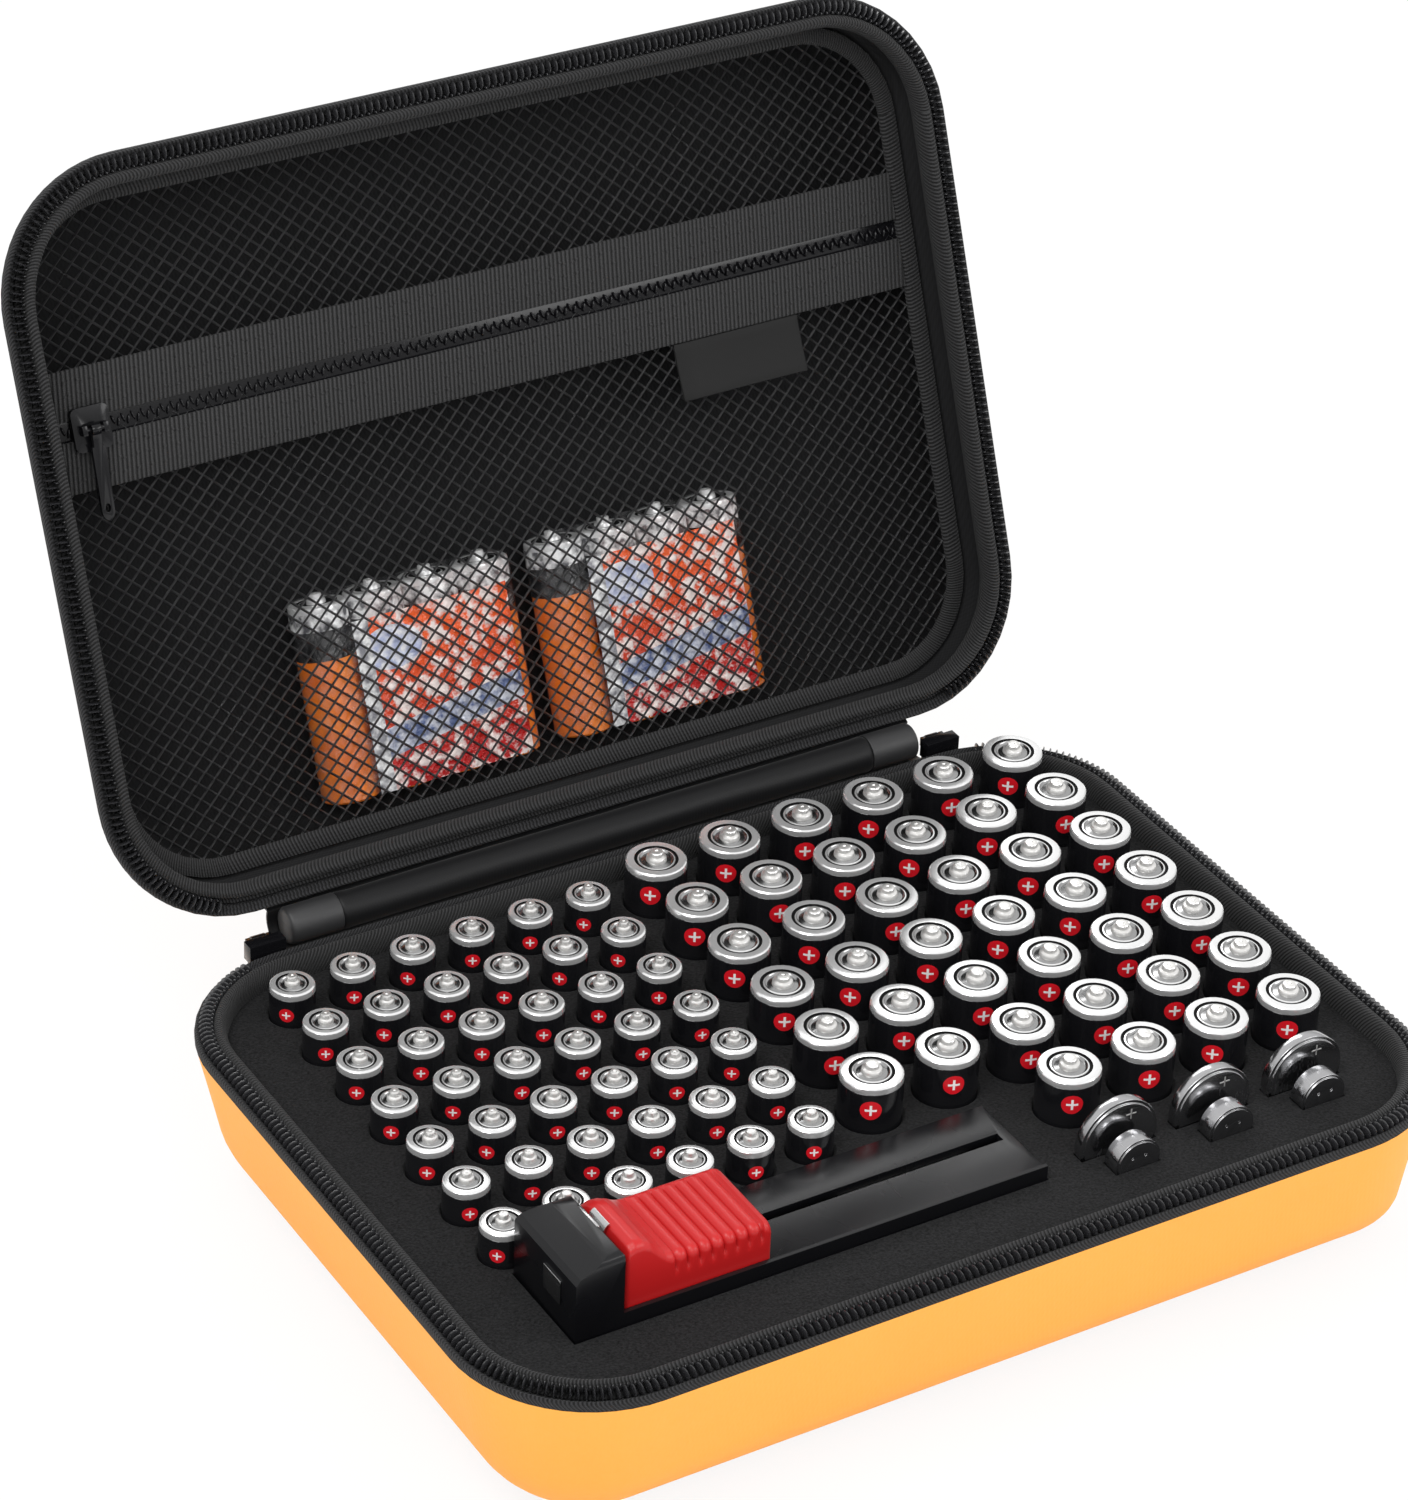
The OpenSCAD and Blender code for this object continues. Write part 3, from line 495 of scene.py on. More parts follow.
def make_shell(body, front, rear):
    bm = bmesh.new()
    lid = body == "lid"
    rim = rim_loop(bm, LID_TOP - front[2] if lid else front[2])
    outer = set()
    for inside in (0.0, WALL):
        edges = rim
        pairs = list(zip(wall_profile(*front, inside), wall_profile(*rear, inside)))
        for pair in pairs if inside else pairs[1:]:
            edges = next_ring(bm, edges, wall_point(pair, lid))
        bmesh.ops.edgeloop_fill(bm, edges=edges)
        outer = outer or set(bm.faces)
    for face in bm.faces:
        face.material_index = int(face not in outer)
    face_out(bm)
    finish_piece(bm, f"case_{body}_shell", body, [SHELL_CLOTH, LINING], [f"{body}_shell"], 40)


make_shell("base", BASE_FRONT, BASE_REAR)
make_shell("lid", LID_WALL, LID_WALL)


# %% [markdown]
# Tapes and bindings keep one cross-section all the way round. The section is extruded along each
# straight side and spun round each corner, and the ends meet again. Each face gets UVs in metres:
# the distance round the rim, and the distance across the section, so ribs follow the tape.

# %% Helpers: a section carried round the rim
SIDE_L, FRONT_L, CORNER_L = 2 * CORE_D, 2 * CORE_W, RIM_R * pi / 2
RIM_LENGTH = 2 * SIDE_L + 2 * FRONT_L + 4 * CORNER_L


def distance_round(x, y):
    (cx, cy), n = outward(x, y)
    a = degrees(atan2(n.y, n.x)) % 360
    starts = [0, SIDE_L + CORNER_L, SIDE_L + FRONT_L + 2 * CORNER_L, 2 * SIDE_L + FRONT_L + 3 * CORNER_L]
    straight = {0: cy + CORE_D, 90: CORE_W - cx, 180: CORE_D - cy, 270: cx + CORE_W}
    q = int(round(a / 90)) % 4
    if abs(((a - 90 * q + 180) % 360) - 180) < 0.05:
        return starts[q] + straight[90 * q]
    q = int(a // 90) % 4
    lengths = [SIDE_L, FRONT_L, SIDE_L, FRONT_L]
    return starts[q] + lengths[q] + RIM_R * radians(a - 90 * q)


def unwrap_round(bm, across):
    layer = bm.loops.layers.uv.new("along the rim")
    for face in bm.faces:
        far = [distance_round(v.co.x / MM, v.co.y / MM) for v in face.verts]
        for loop, s in zip(face.loops, far):
            if max(far) - min(far) > RIM_LENGTH / 2 and s < RIM_LENGTH / 2:
                s += RIM_LENGTH
            loop[layer].uv = (s * MM, across(loop.vert.co))


def carry_round(bm, section, steps=10):
    verts = [bm.verts.new(((RIM_W + u) * MM, -CORE_D * MM, z * MM)) for u, z in section]
    edges = [bm.edges.new((verts[i - 1], verts[i])) for i in range(len(verts))]
    ways = [(0, 1), (-1, 0), (0, -1), (1, 0)]
    corners = [(1, 1), (-1, 1), (-1, -1), (1, -1)]
    for (dx, dy), (sx, sy) in zip(ways, corners):
        length = SIDE_L if dx == 0 else FRONT_L
        moved, edges = extrude(bm, edges)
        bmesh.ops.translate(bm, vec=(dx * length * MM, dy * length * MM, 0), verts=moved)
        centre = (sx * CORE_W * MM, sy * CORE_D * MM, 0)
        ring = bmesh.ops.spin(
            bm, geom=moved + edges, cent=centre, axis=(0, 0, 1), angle=pi / 2, steps=steps, use_merge=False
        )["geom_last"]
        edges = [g for g in ring if isinstance(g, bmesh.types.BMEdge)]
    weld(bm, 0.02)
    face_out(bm)


def rim_band(name, body, node, section, paint):
    bm = bmesh.new()
    carry_round(bm, section)
    unwrap_round(bm, lambda co: co.z + 0.6 * outward_gap(co))
    finish_piece(bm, name, body, [paint], [node], 50)


def outward_gap(co):
    (cx, cy), _ = outward(co.x / MM, co.y / MM)
    return (Vector((co.x / MM - cx, co.y / MM - cy)).length - RIM_R) * MM


print("length of the rim in mm:", round(RIM_LENGTH))

# %% [markdown]
# The zip tape is sewn on the rim of each shell and stands up inside it. The ribbed binding covers
# the raw edges of the shell and the foam. It is a soft folded tape, so its section is a rounded
# band with no sharp edge. The lid's binding is the same tape, folded over the lid's inner edge.

# %% Zip tapes and ribbed bindings
TAPE = [
    (-0.2, 42.05), (0.02, 42.1), (0.02, 43.3), (-0.12, 43.8), (-0.5, 44.1), (-1.0, 43.95), (-1.4, 43.6),
    (-1.5, 43.3), (-2.3, 43.0), (-2.4, 42.1),
]
BASE_BAND = [
    (-7.25, 40.55), (-7.3, 42.2), (-7.15, 43.6), (-6.75, 44.8), (-6.1, 45.6), (-5.3, 45.85), (-4.6, 45.5),
    (-4.25, 44.6), (-4.2, 43.1), (-2.9, 42.9), (-2.9, 40.55),
]
LID_BAND = [
    (-4.5, 55.0), (-2.95, 51.2), (-2.9, 50.2), (-4.2, 50.1), (-4.25, 48.4), (-4.6, 47.6), (-5.3, 47.2), (-6.1, 47.35),
    (-6.8, 48.1), (-7.25, 49.6), (-7.3, 51.2), (-6.9, 52.8), (-6.2, 54.2), (-5.4, 55.0),
]


def lid_side(section):
    return [(u, SEAM + (SEAM - z)) for u, z in section]


rim_band("base_zip_tape_band", "base", "base_zip_tape", TAPE, ZIP_TAPE)
rim_band("lid_zip_tape_band", "lid", "lid_zip_tape", lid_side(TAPE), ZIP_TAPE)
rim_band("base_binding_band", "base", "base_binding", BASE_BAND, BINDING)
rim_band("lid_binding_band", "lid", "lid_binding", LID_BAND, BINDING)

# %% [markdown]
# A coil zip is one nylon filament wound into loops. Seen from outside, it is a row of thin shiny
# teeth. Each tooth is a flattened ball of a few dozen faces, laid across the tape and leaning a
# little, and a second row of small ones stands for the back of the coil. One ball is copied.

# %% Zip teeth round both rims
COIL_U, COIL_GAP, COIL_Z, TOOTH_PITCH = -2.6, 97.0, 44.55, 1.75


def point_round(s, u):
    s = s % RIM_LENGTH
    places = [(0, (1, -1), SIDE_L), (90, (1, 1), FRONT_L), (180, (-1, 1), SIDE_L), (270, (-1, -1), FRONT_L)]
    for a, (sx, sy), length in places:
        n = Vector((cos(radians(a)), sin(radians(a))))
        along = Vector((-n.y, n.x))
        start = Vector((sx * CORE_W, sy * CORE_D))
        if s <= length:
            return start + along * s + n * (RIM_R + u), radians(a)
        s -= length
        if s <= CORNER_L:
            centre = start + along * length
            turn = radians(a) + s / RIM_R
            return centre + Vector((cos(turn), sin(turn))) * (RIM_R + u), turn
        s -= CORNER_L
    return Vector((RIM_W + u, -CORE_D)), 0.0


def make_ball():
    bm = bmesh.new()
    bmesh.ops.create_uvsphere(bm, u_segments=8, v_segments=6, radius=1)
    return mesh_from(bm, "ball")


def repeat_shape(bm, shape, places):
    points = [v.co.copy() for v in shape.vertices]
    faces = [tuple(face.vertices) for face in shape.polygons]
    many = bpy.data.meshes.new("copies")
    many.from_pydata(
        [place @ p for place in places for p in points], [],
        [tuple(k * len(points) + i for i in face) for k in range(len(places)) for face in faces],
    )
    bm.from_mesh(many)
    bpy.data.meshes.remove(many)


def sized_spot(x, y, z, turn, size):
    spot = Matrix.Translation(mm(x, y, z)) @ Matrix.Rotation(turn, 4, "Z")
    return spot @ Matrix.Diagonal((*(Vector(size) * MM), 1))


def add_cube(bm, x, y, z, size):
    return bmesh.ops.create_cube(bm, size=1, matrix=sized_spot(x, y, z, 0, size))["verts"]


BALL = make_ball()


def zip_teeth(body, z):
    bm = bmesh.new()
    places = []
    count = int(RIM_LENGTH / TOOTH_PITCH)
    for k in range(count):
        place, turn = point_round(k * RIM_LENGTH / count, COIL_U)
        if abs(place.x) < COIL_GAP and place.y > 0:
            continue
        places.append(sized_spot(place.x, place.y, z, turn + 0.12, (1.75, 0.27, 1.5)))
        inner, turn = point_round((k + 0.5) * RIM_LENGTH / count, COIL_U - 1.3)
        places.append(sized_spot(inner.x, inner.y, z, turn - 0.2, (0.5, 0.22, 1.2)))
    repeat_shape(bm, BALL, places)
    finish_piece(bm, f"{body}_zip_teeth", body, [TEETH], [f"{body}_zip_coil"], 60)


zip_teeth("base", COIL_Z)
zip_teeth("lid", 2 * SEAM - COIL_Z)

# %% [markdown]
# The foam block fills the base up to 6 mm below the seam. Its holes are cut by subtracting one mesh
# of cutters. Punched foam has a softly rounded edge at each hole, so every cutter flares at its top.

# %% Where the cells stand
LARGE = [(0.05 + 19.65 * i, 69.3 - 18.5 * j, i) for i in range(6) for j in range(6 if i < 2 else 7)]
SMALL = [(-93.8 + 15.1 * i, 68.5 - 16.1 * j, i) for i in range(6) for j in range(7)]
LARGE_FLOOR, SMALL_FLOOR, LARGE_BORE, SMALL_BORE = 3.0, 5.8, 7.4, 5.38
BUTTON_X = [40.95, 65.75, 90.55]
TESTER_BOX = [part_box("tester_bottom_cover")[0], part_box("tester_housing")[1]]
print(len(LARGE), "large cells,", len(SMALL), "small cells")


# %% Foam block with its holes
def cutter(bm, x, y, low, radius):
    flare = [(radius, FOAM_TOP - 0.7), (radius + 0.25, FOAM_TOP - 0.25), (radius + 0.9, FOAM_TOP + 0.2)]
    section = [(0, low), (radius, low), *flare, (0, FOAM_TOP + 0.2)]
    spin_section(bm, section, (x, y), 28)


def spin_section(bm, section, centre=(0, 0), steps=32):
    verts = [bm.verts.new(((centre[0] + r) * MM, centre[1] * MM, z * MM)) for r, z in section]
    edges = [bm.edges.new(pair) for pair in zip(verts, verts[1:])]
    bmesh.ops.spin(
        bm, geom=verts + edges, cent=(centre[0] * MM, centre[1] * MM, 0), axis=(0, 0, 1), angle=2 * pi,
        steps=steps, use_merge=True,
    )


def make_cutters():
    bm = bmesh.new()
    for spots, floor, radius in ((LARGE, LARGE_FLOOR, LARGE_BORE), (SMALL, SMALL_FLOOR, SMALL_BORE)):
        for x, y, _ in spots:
            cutter(bm, x, y, floor, radius)
    weld(bm)
    for x in BUTTON_X:
        for r, y0, y1, z in ((10.15, -59.95, -56.45, 43.0), (5.95, -67.35, -62.05, 41.7)):
            spot = Matrix.Translation(Vector((x, (y0 + y1) / 2, z)) * MM) @ Matrix.Rotation(pi / 2, 4, "X")
            bmesh.ops.create_cone(
                bm, cap_ends=True, segments=40, radius1=r * MM, radius2=r * MM, depth=(y1 - y0) * MM, matrix=spot
            )
    low, high = TESTER_BOX
    size = high - low
    spot = Matrix.Translation((low + high) / 2) @ Matrix.Diagonal((size.x + 0.0006, size.y + 0.0006, size.z, 1))
    bmesh.ops.create_cube(bm, size=1, matrix=spot)
    face_out(bm)
    return finish_piece(bm, "foam_cutters", None, [FOAM])


FOAM_GAP = 2.75


def make_foam():
    bm = bmesh.new()
    edges = rim_loop(bm, FOAM_TOP)
    pairs = list(zip(*[wall_profile(*wall, FOAM_GAP) for wall in (BASE_FRONT, BASE_REAR)]))
    first = edges
    for v in bm.verts:
        wall_point(pairs[0], top=FOAM_TOP)(v)
    for pair in pairs[1:]:
        edges = next_ring(bm, edges, wall_point(pair, top=FOAM_TOP))
    bmesh.ops.edgeloop_fill(bm, edges=edges)
    bmesh.ops.edgeloop_fill(bm, edges=first)
    face_out(bm)
    block = finish_piece(bm, "foam_block", None, [FOAM])
    cutters = make_cutters()
    cut = block.modifiers.new("holes", "BOOLEAN")
    cut.operation, cut.solver, cut.object = "DIFFERENCE", "EXACT", cutters
    bpy.context.view_layer.update()
    made = bpy.data.meshes.new_from_object(block.evaluated_get(bpy.context.evaluated_depsgraph_get()))
    block.modifiers.clear()
    block.data = made
    made.shade_smooth()
    made.set_sharp_from_angle(angle=radians(30))
    bpy.data.objects.remove(cutters)
    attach(block, "base")
    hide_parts("foam_insert")
    print("foam_block", len(made.polygons), "faces after the holes are cut")


make_foam()

# %% [markdown]
# A round cell is turned from one profile: a sleeve of printed film up to a crimp, a bright ring, a
# dark groove, a dished disc and a stepped terminal. Each cell carries one round plus badge on its
# sleeve. The badge is drawn by the sleeve's paint from UVs in metres round and up the cell, so it
# stays sharp, and the cells are turned a little apart, as they are when someone drops them in.

# %% Paint of the sleeves
def make_sleeve_paint(name, badge_z, badge_r):
    paint, tree, surface = start_paint(name, grey(0.006), 0.16, 0.0, Coat_Weight=0.4)
    across, up, _ = split_node(tree, place_node(tree, "UV"))
    up = calc(tree, "SUBTRACT", up, badge_z)
    square = calc(tree, "ADD", calc(tree, "MULTIPLY", across, across), calc(tree, "MULTIPLY", up, up))
    disc = calc(tree, "LESS_THAN", square, badge_r * badge_r)
    bar_x, bar_y = calc(tree, "ABSOLUTE", across), calc(tree, "ABSOLUTE", up)
    bars = []
    for one, other in ((bar_x, bar_y), (bar_y, bar_x)):
        thin = calc(tree, "LESS_THAN", one, 0.11 * badge_r)
        bars.append(calc(tree, "MULTIPLY", thin, calc(tree, "LESS_THAN", other, 0.55 * badge_r)))
    fine = group_node(tree, GRAIN, Place=place_node(tree), Scale=900.0)
    black = tone_node(tree, fine.outputs["Tone"], grey(0.003), grey(0.010))
    red = mix_node(tree, disc, black, (0.62, 0.010, 0.018))
    colour = mix_node(tree, calc(tree, "MAXIMUM", *bars), red, (0.85, 0.80, 0.80))
    feed(colour, surface)
    feed(range_node(tree, fine.outputs["Tone"], 0.10, 0.24), surface, "Roughness")
    bump_node(tree, surface, fine.outputs["Height"], 0.000005)
    return paint


LARGE_SLEEVE = make_sleeve_paint("sleeve of the large cells", 43.4 * MM, 2.45 * MM)
SMALL_SLEEVE = make_sleeve_paint("sleeve of the small cells", 37.6 * MM, 1.75 * MM)
GROOVE = make_hard_paint("dark seal", grey(0.004, 0), 0.6, 0.0, 0.0, Specular_IOR_Level=0.1)
BADGE_TURN = radians(-118)
print(LARGE_SLEEVE.name, SMALL_SLEEVE.name)


# %% One cell, turned from its profile
def cell_profile(r, l):
    sleeve = [(0, 0), (r - 0.45, 0), (r, 0.45), (r, l - 3.4), (r - 0.06, l - 3.15)]
    metal = [
        (r - 0.12, l - 3.1), (r - 0.10, l - 2.2), (r - 0.20, l - 1.8), (r - 0.50, l - 1.54), (r * 0.87, l - 1.5),
        (r * 0.71, l - 1.51),
    ]
    seal = [(r * 0.70, l - 1.74), (r * 0.61, l - 1.74)]
    disc = [
        (r * 0.60, l - 1.60), (r * 0.56, l - 1.56), (r * 0.53, l - 1.85), (r * 0.48, l - 2.0), (r * 0.42, l - 1.9),
        (r * 0.335, l - 1.75), (r * 0.32, l - 1.0), (r * 0.30, l - 0.78), (r * 0.25, l - 0.66), (r * 0.222, l - 0.58),
        (r * 0.215, l + 0.30), (r * 0.195, l + 0.48), (r * 0.15, l + 0.55), (r * 0.06, l + 0.53), (r * 0.035, l + 0.35),
        (0, l + 0.35),
    ]
    return sleeve, metal, seal, disc


def turn_cell(r, l, steps=32):
    bm = bmesh.new()
    parts = cell_profile(r, l)
    section = [p for part in parts for p in part]
    spin_section(bm, section, steps=steps)
    weld(bm)
    layer = bm.loops.layers.uv.new("round and up")
    for face in bm.faces:
        middle = face.calc_center_median()
        far, high = hypot(middle.x, middle.y) / MM, middle.z / MM
        if high < l - 3.1 and far > r - 0.7 or high < 0.5:
            face.material_index = 0
        elif r * 0.608 < far < r * 0.707 and high < l - 1.6:
            face.material_index = 2
        elif r * 0.335 < far < r * 0.55 and high > l - 2.3:
            face.material_index = 3
        elif far < r * 0.335 and high > l - 2.3:
            face.material_index = 4
        else:
            face.material_index = 1
        turn = atan2(middle.y, middle.x)
        for loop in face.loops:
            co = loop.vert.co
            a = atan2(co.y, co.x) - turn if co.xy.length > 1e-7 else 0.0
            a = (a + pi) % (2 * pi) - pi
            around = (turn - BADGE_TURN + pi) % (2 * pi) - pi + a
            loop[layer].uv = (around * r * MM, co.z)
    face_out(bm)
    mesh = mesh_from(bm, "one cell")
    print("one cell:", len(section), "points in its profile,", len(mesh.polygons), "faces")
    return mesh


def add_copy(bm, mesh, shape):
    before = len(bm.verts)
    bm.from_mesh(mesh)
    bm.verts.ensure_lookup_table()
    bmesh.ops.transform(bm, matrix=shape, verts=bm.verts[before:])


def cell_column(name, node, mesh, spots, floor, paints):
    rng = random.Random(name)
    bm = bmesh.new()
    for x, y in spots:
        turn = Matrix.Rotation(radians(rng.uniform(-16, 16)), 4, "Z")
        add_copy(bm, mesh, Matrix.Translation(mm(x, y, floor)) @ turn)
    finish_piece(bm, name, "base", paints, [node], 32)


# %% The columns of cells
KINDS = [
    ("large", "aa", LARGE, turn_cell(7.25, 50.5), LARGE_FLOOR, LARGE_SLEEVE),
    ("small", "aaa", SMALL, turn_cell(5.25, 44.5, 28), SMALL_FLOOR, SMALL_SLEEVE),
]
for i in range(6):
    for kind, size, cells, mesh, floor, sleeve in KINDS:
        spots = [(x, y) for x, y, k in cells if k == i]
        paints = [sleeve, CHROME, GROOVE, DISC_STEEL, SATIN_STEEL]
        cell_column(f"{kind}_cells_{i + 1}", f"{size}_cells_col_{i + 1}", mesh, spots, floor, paints)


# %% [markdown]
# Some CAD solids have the right shape but knife-sharp edges, and real mouldings and castings never
# do. For these, a copy of the solid is merged into clean faces and its edges get a small bevel.

# %% Helper: a CAD solid with softened edges
SHARP = radians(25)


def soften(bm, offset, segments, above=-inf):
    edges = [e for e in bm.edges if e.calc_face_angle(0) > SHARP and min(v.co.z for v in e.verts) > above * MM]
    bmesh.ops.bevel(
        bm, geom=edges, offset=offset * MM, segments=segments, profile=0.5, affect="EDGES", material=-1,
        clamp_overlap=True,
    )


def softened_copy(name, node, body, paint, slot, width=0.3, segments=2, high=None, front=None):
    bm = bmesh.new()
    bm.from_mesh(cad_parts[node].data)
    weld(bm)
    bmesh.ops.dissolve_limit(bm, angle_limit=radians(1), verts=bm.verts, edges=bm.edges)
    if high:
        soften(bm, high[1], 5, high[0])
    soften(bm, width, segments)
    face_out(bm)
    if front:
        for face in bm.faces:
            face.material_index = int(face.normal.y < -0.9)
    return finish_piece(bm, name, body, [paint, front] if front else [paint], [node], 40)


print("CAD nodes:", len(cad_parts))

# %% [markdown]
# Large button cells stand on edge with a plus pressed into the face. The small ones are air cells:
# stepped cans with four small holes. Both are plated steel.

# %% Button cells
for k in (1, 2, 3):
    for kind, *soft in (("large", 0.15), ("small", 0.35, 3, None, BUTTON_FACE)):
        softened_copy(f"{kind}_button_{k}", f"coin_cell_{kind}_{k}", "base", BUTTON_STEEL, "button_cell", *soft)


def plus_mark(k, x):
    bm = bmesh.new()
    for w, h in ((2.6, 0.28), (0.28, 2.6)):
        add_cube(bm, x + 2.4, -59.8, 49.2, (w, 0.12, h))
    finish_piece(bm, f"large_button_plus_{k}", "base", [SATIN_STEEL], ())


for k, x in enumerate(BUTTON_X):
    plus_mark(k + 1, x)

# %% [markdown]
# The tester is a moulded black housing with a long sliding plate and a tall head. Its red finger
# grip has a raised hump next to the head and seven round ribs. The grip is a row of cross-sections:
# each is rounded at its front and back, and between two ribs it is sunk along its own normal.

# %% Tester housing and contacts
softened_copy("tester_upper_housing", "tester_housing", "base", CASE_PLASTIC, "tester_case", 0.45, 3, (47, 1.6))
softened_copy("tester_lower_cover", "tester_bottom_cover", "base", CASE_PLASTIC, "tester_case", 0.4)
softened_copy("tester_meter_block", "tester_meter", "base", METER_WHITE, "meter", 0.4)
softened_copy("tester_left_contact", "tester_side_contact", "base", DISC_STEEL, "contact", 0.08)
softened_copy("tester_head_contact", "tester_top_contact", "base", CONTACT, "contact", 0.08)


def make_grip_clip():
    bm = bmesh.new()
    line = [(-83.3, 48.2), (-83.3, 57.6), (-83.0, 58.8), (-82.3, 59.5), (-81.9, 59.6)]
    verts = [bm.verts.new(mm(x, -51.2, z)) for x, z in line]
    edges = [bm.edges.new(pair) for pair in zip(verts, verts[1:])]
    bmesh.ops.translate(bm, vec=(0, 6.2 * MM, 0), verts=extrude(bm, edges)[0])
    face_out(bm)
    bmesh.ops.solidify(bm, geom=bm.faces[:], thickness=0.0003)
    face_out(bm)
    finish_piece(bm, "tester_grip_contact", "tester_slide", [CONTACT], ["tester_slider_contact"], 50)


make_grip_clip()


# %% Red finger grip
GRIP_L, GRIP_STEPS = 36.2, 145


def grip_top(x):
    points = [
        (0, 13.6), (0.9, 15.5), (2.6, 16.2), (4.4, 16.0), (6.2, 14.9), (8.2, 12.6), (10.2, 10.8), (12.0, 10.1),
        (34.0, 10.1), (GRIP_L, 9.4),
    ]
    for (xa, za), (xb, zb) in zip(points, points[1:]):
        if x <= xb:
            t = (x - xa) / (xb - xa)
            return za + (zb - za) * t
    return points[-1][1]


def grip_section(x, depth, turn=2.2):
    top = grip_top(x)
    edge = min(x, GRIP_L - x)
    inset = 1.3 - sqrt(max(0.0, 1.3 ** 2 - max(0.0, 1.3 - edge) ** 2))
    y0, y1, top = inset, depth - inset, top - inset
    back = max(turn, min(8.5, (top - 8.2) * 1.15))
    line = [(y0, z) for z in (0.0, 2.0, 4.0, 5.2, 6.0, 6.8, top - turn)]
    quarter = [pi / 2 * k / 8 for k in range(1, 9)]
    line += [(y0 + turn * (1 - cos(a)), top - turn * (1 - sin(a))) for a in quarter]
    line += [(y0 + turn + (y1 - back - y0 - turn) * k / 12, top) for k in range(1, 12)]
    quarter = [pi / 2 * (1 - k / 10) for k in range(11)]
    line += [(y1 - back * (1 - cos(a)), top - back * (1 - sin(a))) for a in quarter]
    return line + [(y1, 0.0)]


def make_grip():
    x0, y0, depth, z0 = -82.9, -59.9, 23.0, 43.3
    bm = bmesh.new()
    rows = []
    for i in range(GRIP_STEPS + 1):
        x = GRIP_L * i / GRIP_STEPS
        line = grip_section(x, depth)
        near = min(abs(x - 14 - 3 * k) for k in range(7))
        groove = 1 - sqrt(max(0.0, 1 - (min(near, 1.5) / 1.5) ** 2)) if 12 < x < 34.2 else 0.0
        groove *= min(1.0, (x - 12) / 0.8) * min(1.0, (34.2 - x) / 0.8) if groove else 0.0
        row = []
        for j, (y, z) in enumerate(line):
            before, after = line[max(0, j - 1)], line[min(len(line) - 1, j + 1)]
            n = Vector((0, -(after[1] - before[1]), after[0] - before[0]))
            n = n.normalized() if n.length else Vector((0, 0, 1))
            fade = max(0.0, min(1.0, (z - 5.4) / 1.2)) * max(0.0, min(1.0, (depth - 1.2 - y) / 1.2))
            sink = 1.15 * groove * fade
            row.append(bm.verts.new(mm(x0 + x * 35.6 / GRIP_L, y0 + y - n.y * sink, z0 + z - n.z * sink)))
        rows.append(row)
    for a, b in zip(rows, rows[1:]):
        for j in range(len(a)):
            k = (j + 1) % len(a)
            bm.faces.new((a[j], a[k], b[k], b[j]))
    bm.faces.new(rows[0])
    bm.faces.new(rows[-1])
    for wide, down, tall in ((1.9, 1.8, 3.2), (8.0, 4.9, 1.8)):
        add_cube(bm, -63.35, y0 + depth / 2 + 1.8, z0 - down, (31.7, wide, tall))
    face_out(bm)
    finish_piece(bm, "tester_finger_grip", "tester_slide", [GRIP_PLASTIC], ["tester_slider"], 60)


make_grip()

# %% [markdown]
# The lid hangs on a cloth hinge. A padded roll lies along the hinge line, with a grey rubber tab on
# each end, and a strip of the same cloth joins the two rims behind it. The strip crosses the
# joint and is shaped as it lies with the lid open.

# %% Hinge roll, end tabs and the cloth behind them
STRIP_L, STRIP_R = 0.172, 4.95


def make_roll():
    bm = bmesh.new()
    section = [(0, -83.3), (3.5, -83.3), (3.75, -82.9), (3.75, -71.2), (4.2, -70.9), (4.45, -70.2)]
    section += [(4.45, -70.2 + 140.4 * k / 60) for k in range(1, 61)]
    section += [(4.2, 70.9), (3.75, 71.2), (3.75, 82.9), (3.5, 83.3), (0, 83.3)]
    spin_section(bm, section, steps=24)
    weld(bm)
    for v in bm.verts:
        x, y, z = v.co / MM
        if abs(z) < 69:
            a = atan2(y, x)
            crease = 0.12 * sin(z / 5.3 + 2 * sin(a)) + 0.10 * sin(z / 2.1 + 3 * a)
            v.co.x *= 1 - 0.04 * (1 + crease)
            v.co.y *= 1 - 0.03 * (1 + sin(z / 9 + a))
    turn = Matrix.Translation(HINGE) @ Matrix.Rotation(pi / 2, 4, "Y")
    bmesh.ops.transform(bm, matrix=turn, verts=bm.verts)
    face_out(bm)
    roll = finish_piece(bm, "hinge_cloth_roll", "base", [HINGE_CLOTH], ["hinge_roll"], 50)


def make_hinge_strip():
    bm = bmesh.new()
    low = [(87.15, 41.6), (87.35, 42.5)]
    path = [mm(0, y, z) for y, z in low]
    for k in range(17):
        a = radians(226 + 157 * k / 16)
        path.append(HINGE + Vector((0, cos(a), sin(a))) * STRIP_R * MM)
    turn = Matrix.Rotation(-LID_OPEN, 3, "X")
    for y, z in ((87.35, 50.5), (87.15, 51.4)):
        path.append(HINGE + turn @ (mm(0, y, z) - HINGE))
    verts = [bm.verts.new(p + Vector((-STRIP_L / 2, 0, 0))) for p in path]
    edges = [bm.edges.new(pair) for pair in zip(verts, verts[1:])]
    for k in range(24):
        moved, edges = extrude(bm, edges)
        bmesh.ops.translate(bm, vec=(STRIP_L / 24, 0, 0), verts=moved)
    bmesh.ops.solidify(bm, geom=bm.faces[:], thickness=0.0005)
    face_out(bm)
    strip = finish_piece(bm, "hinge_cloth_strip", None, [HINGE_CLOTH], crease=60)
    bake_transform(strip)


make_roll()
make_hinge_strip()
for side in ("left", "right"):
    softened_copy(f"hinge_tab_{side}", f"hinge_end_tab_{side}", "base", TAB_RUBBER, "end_tab", 0.4, 3)

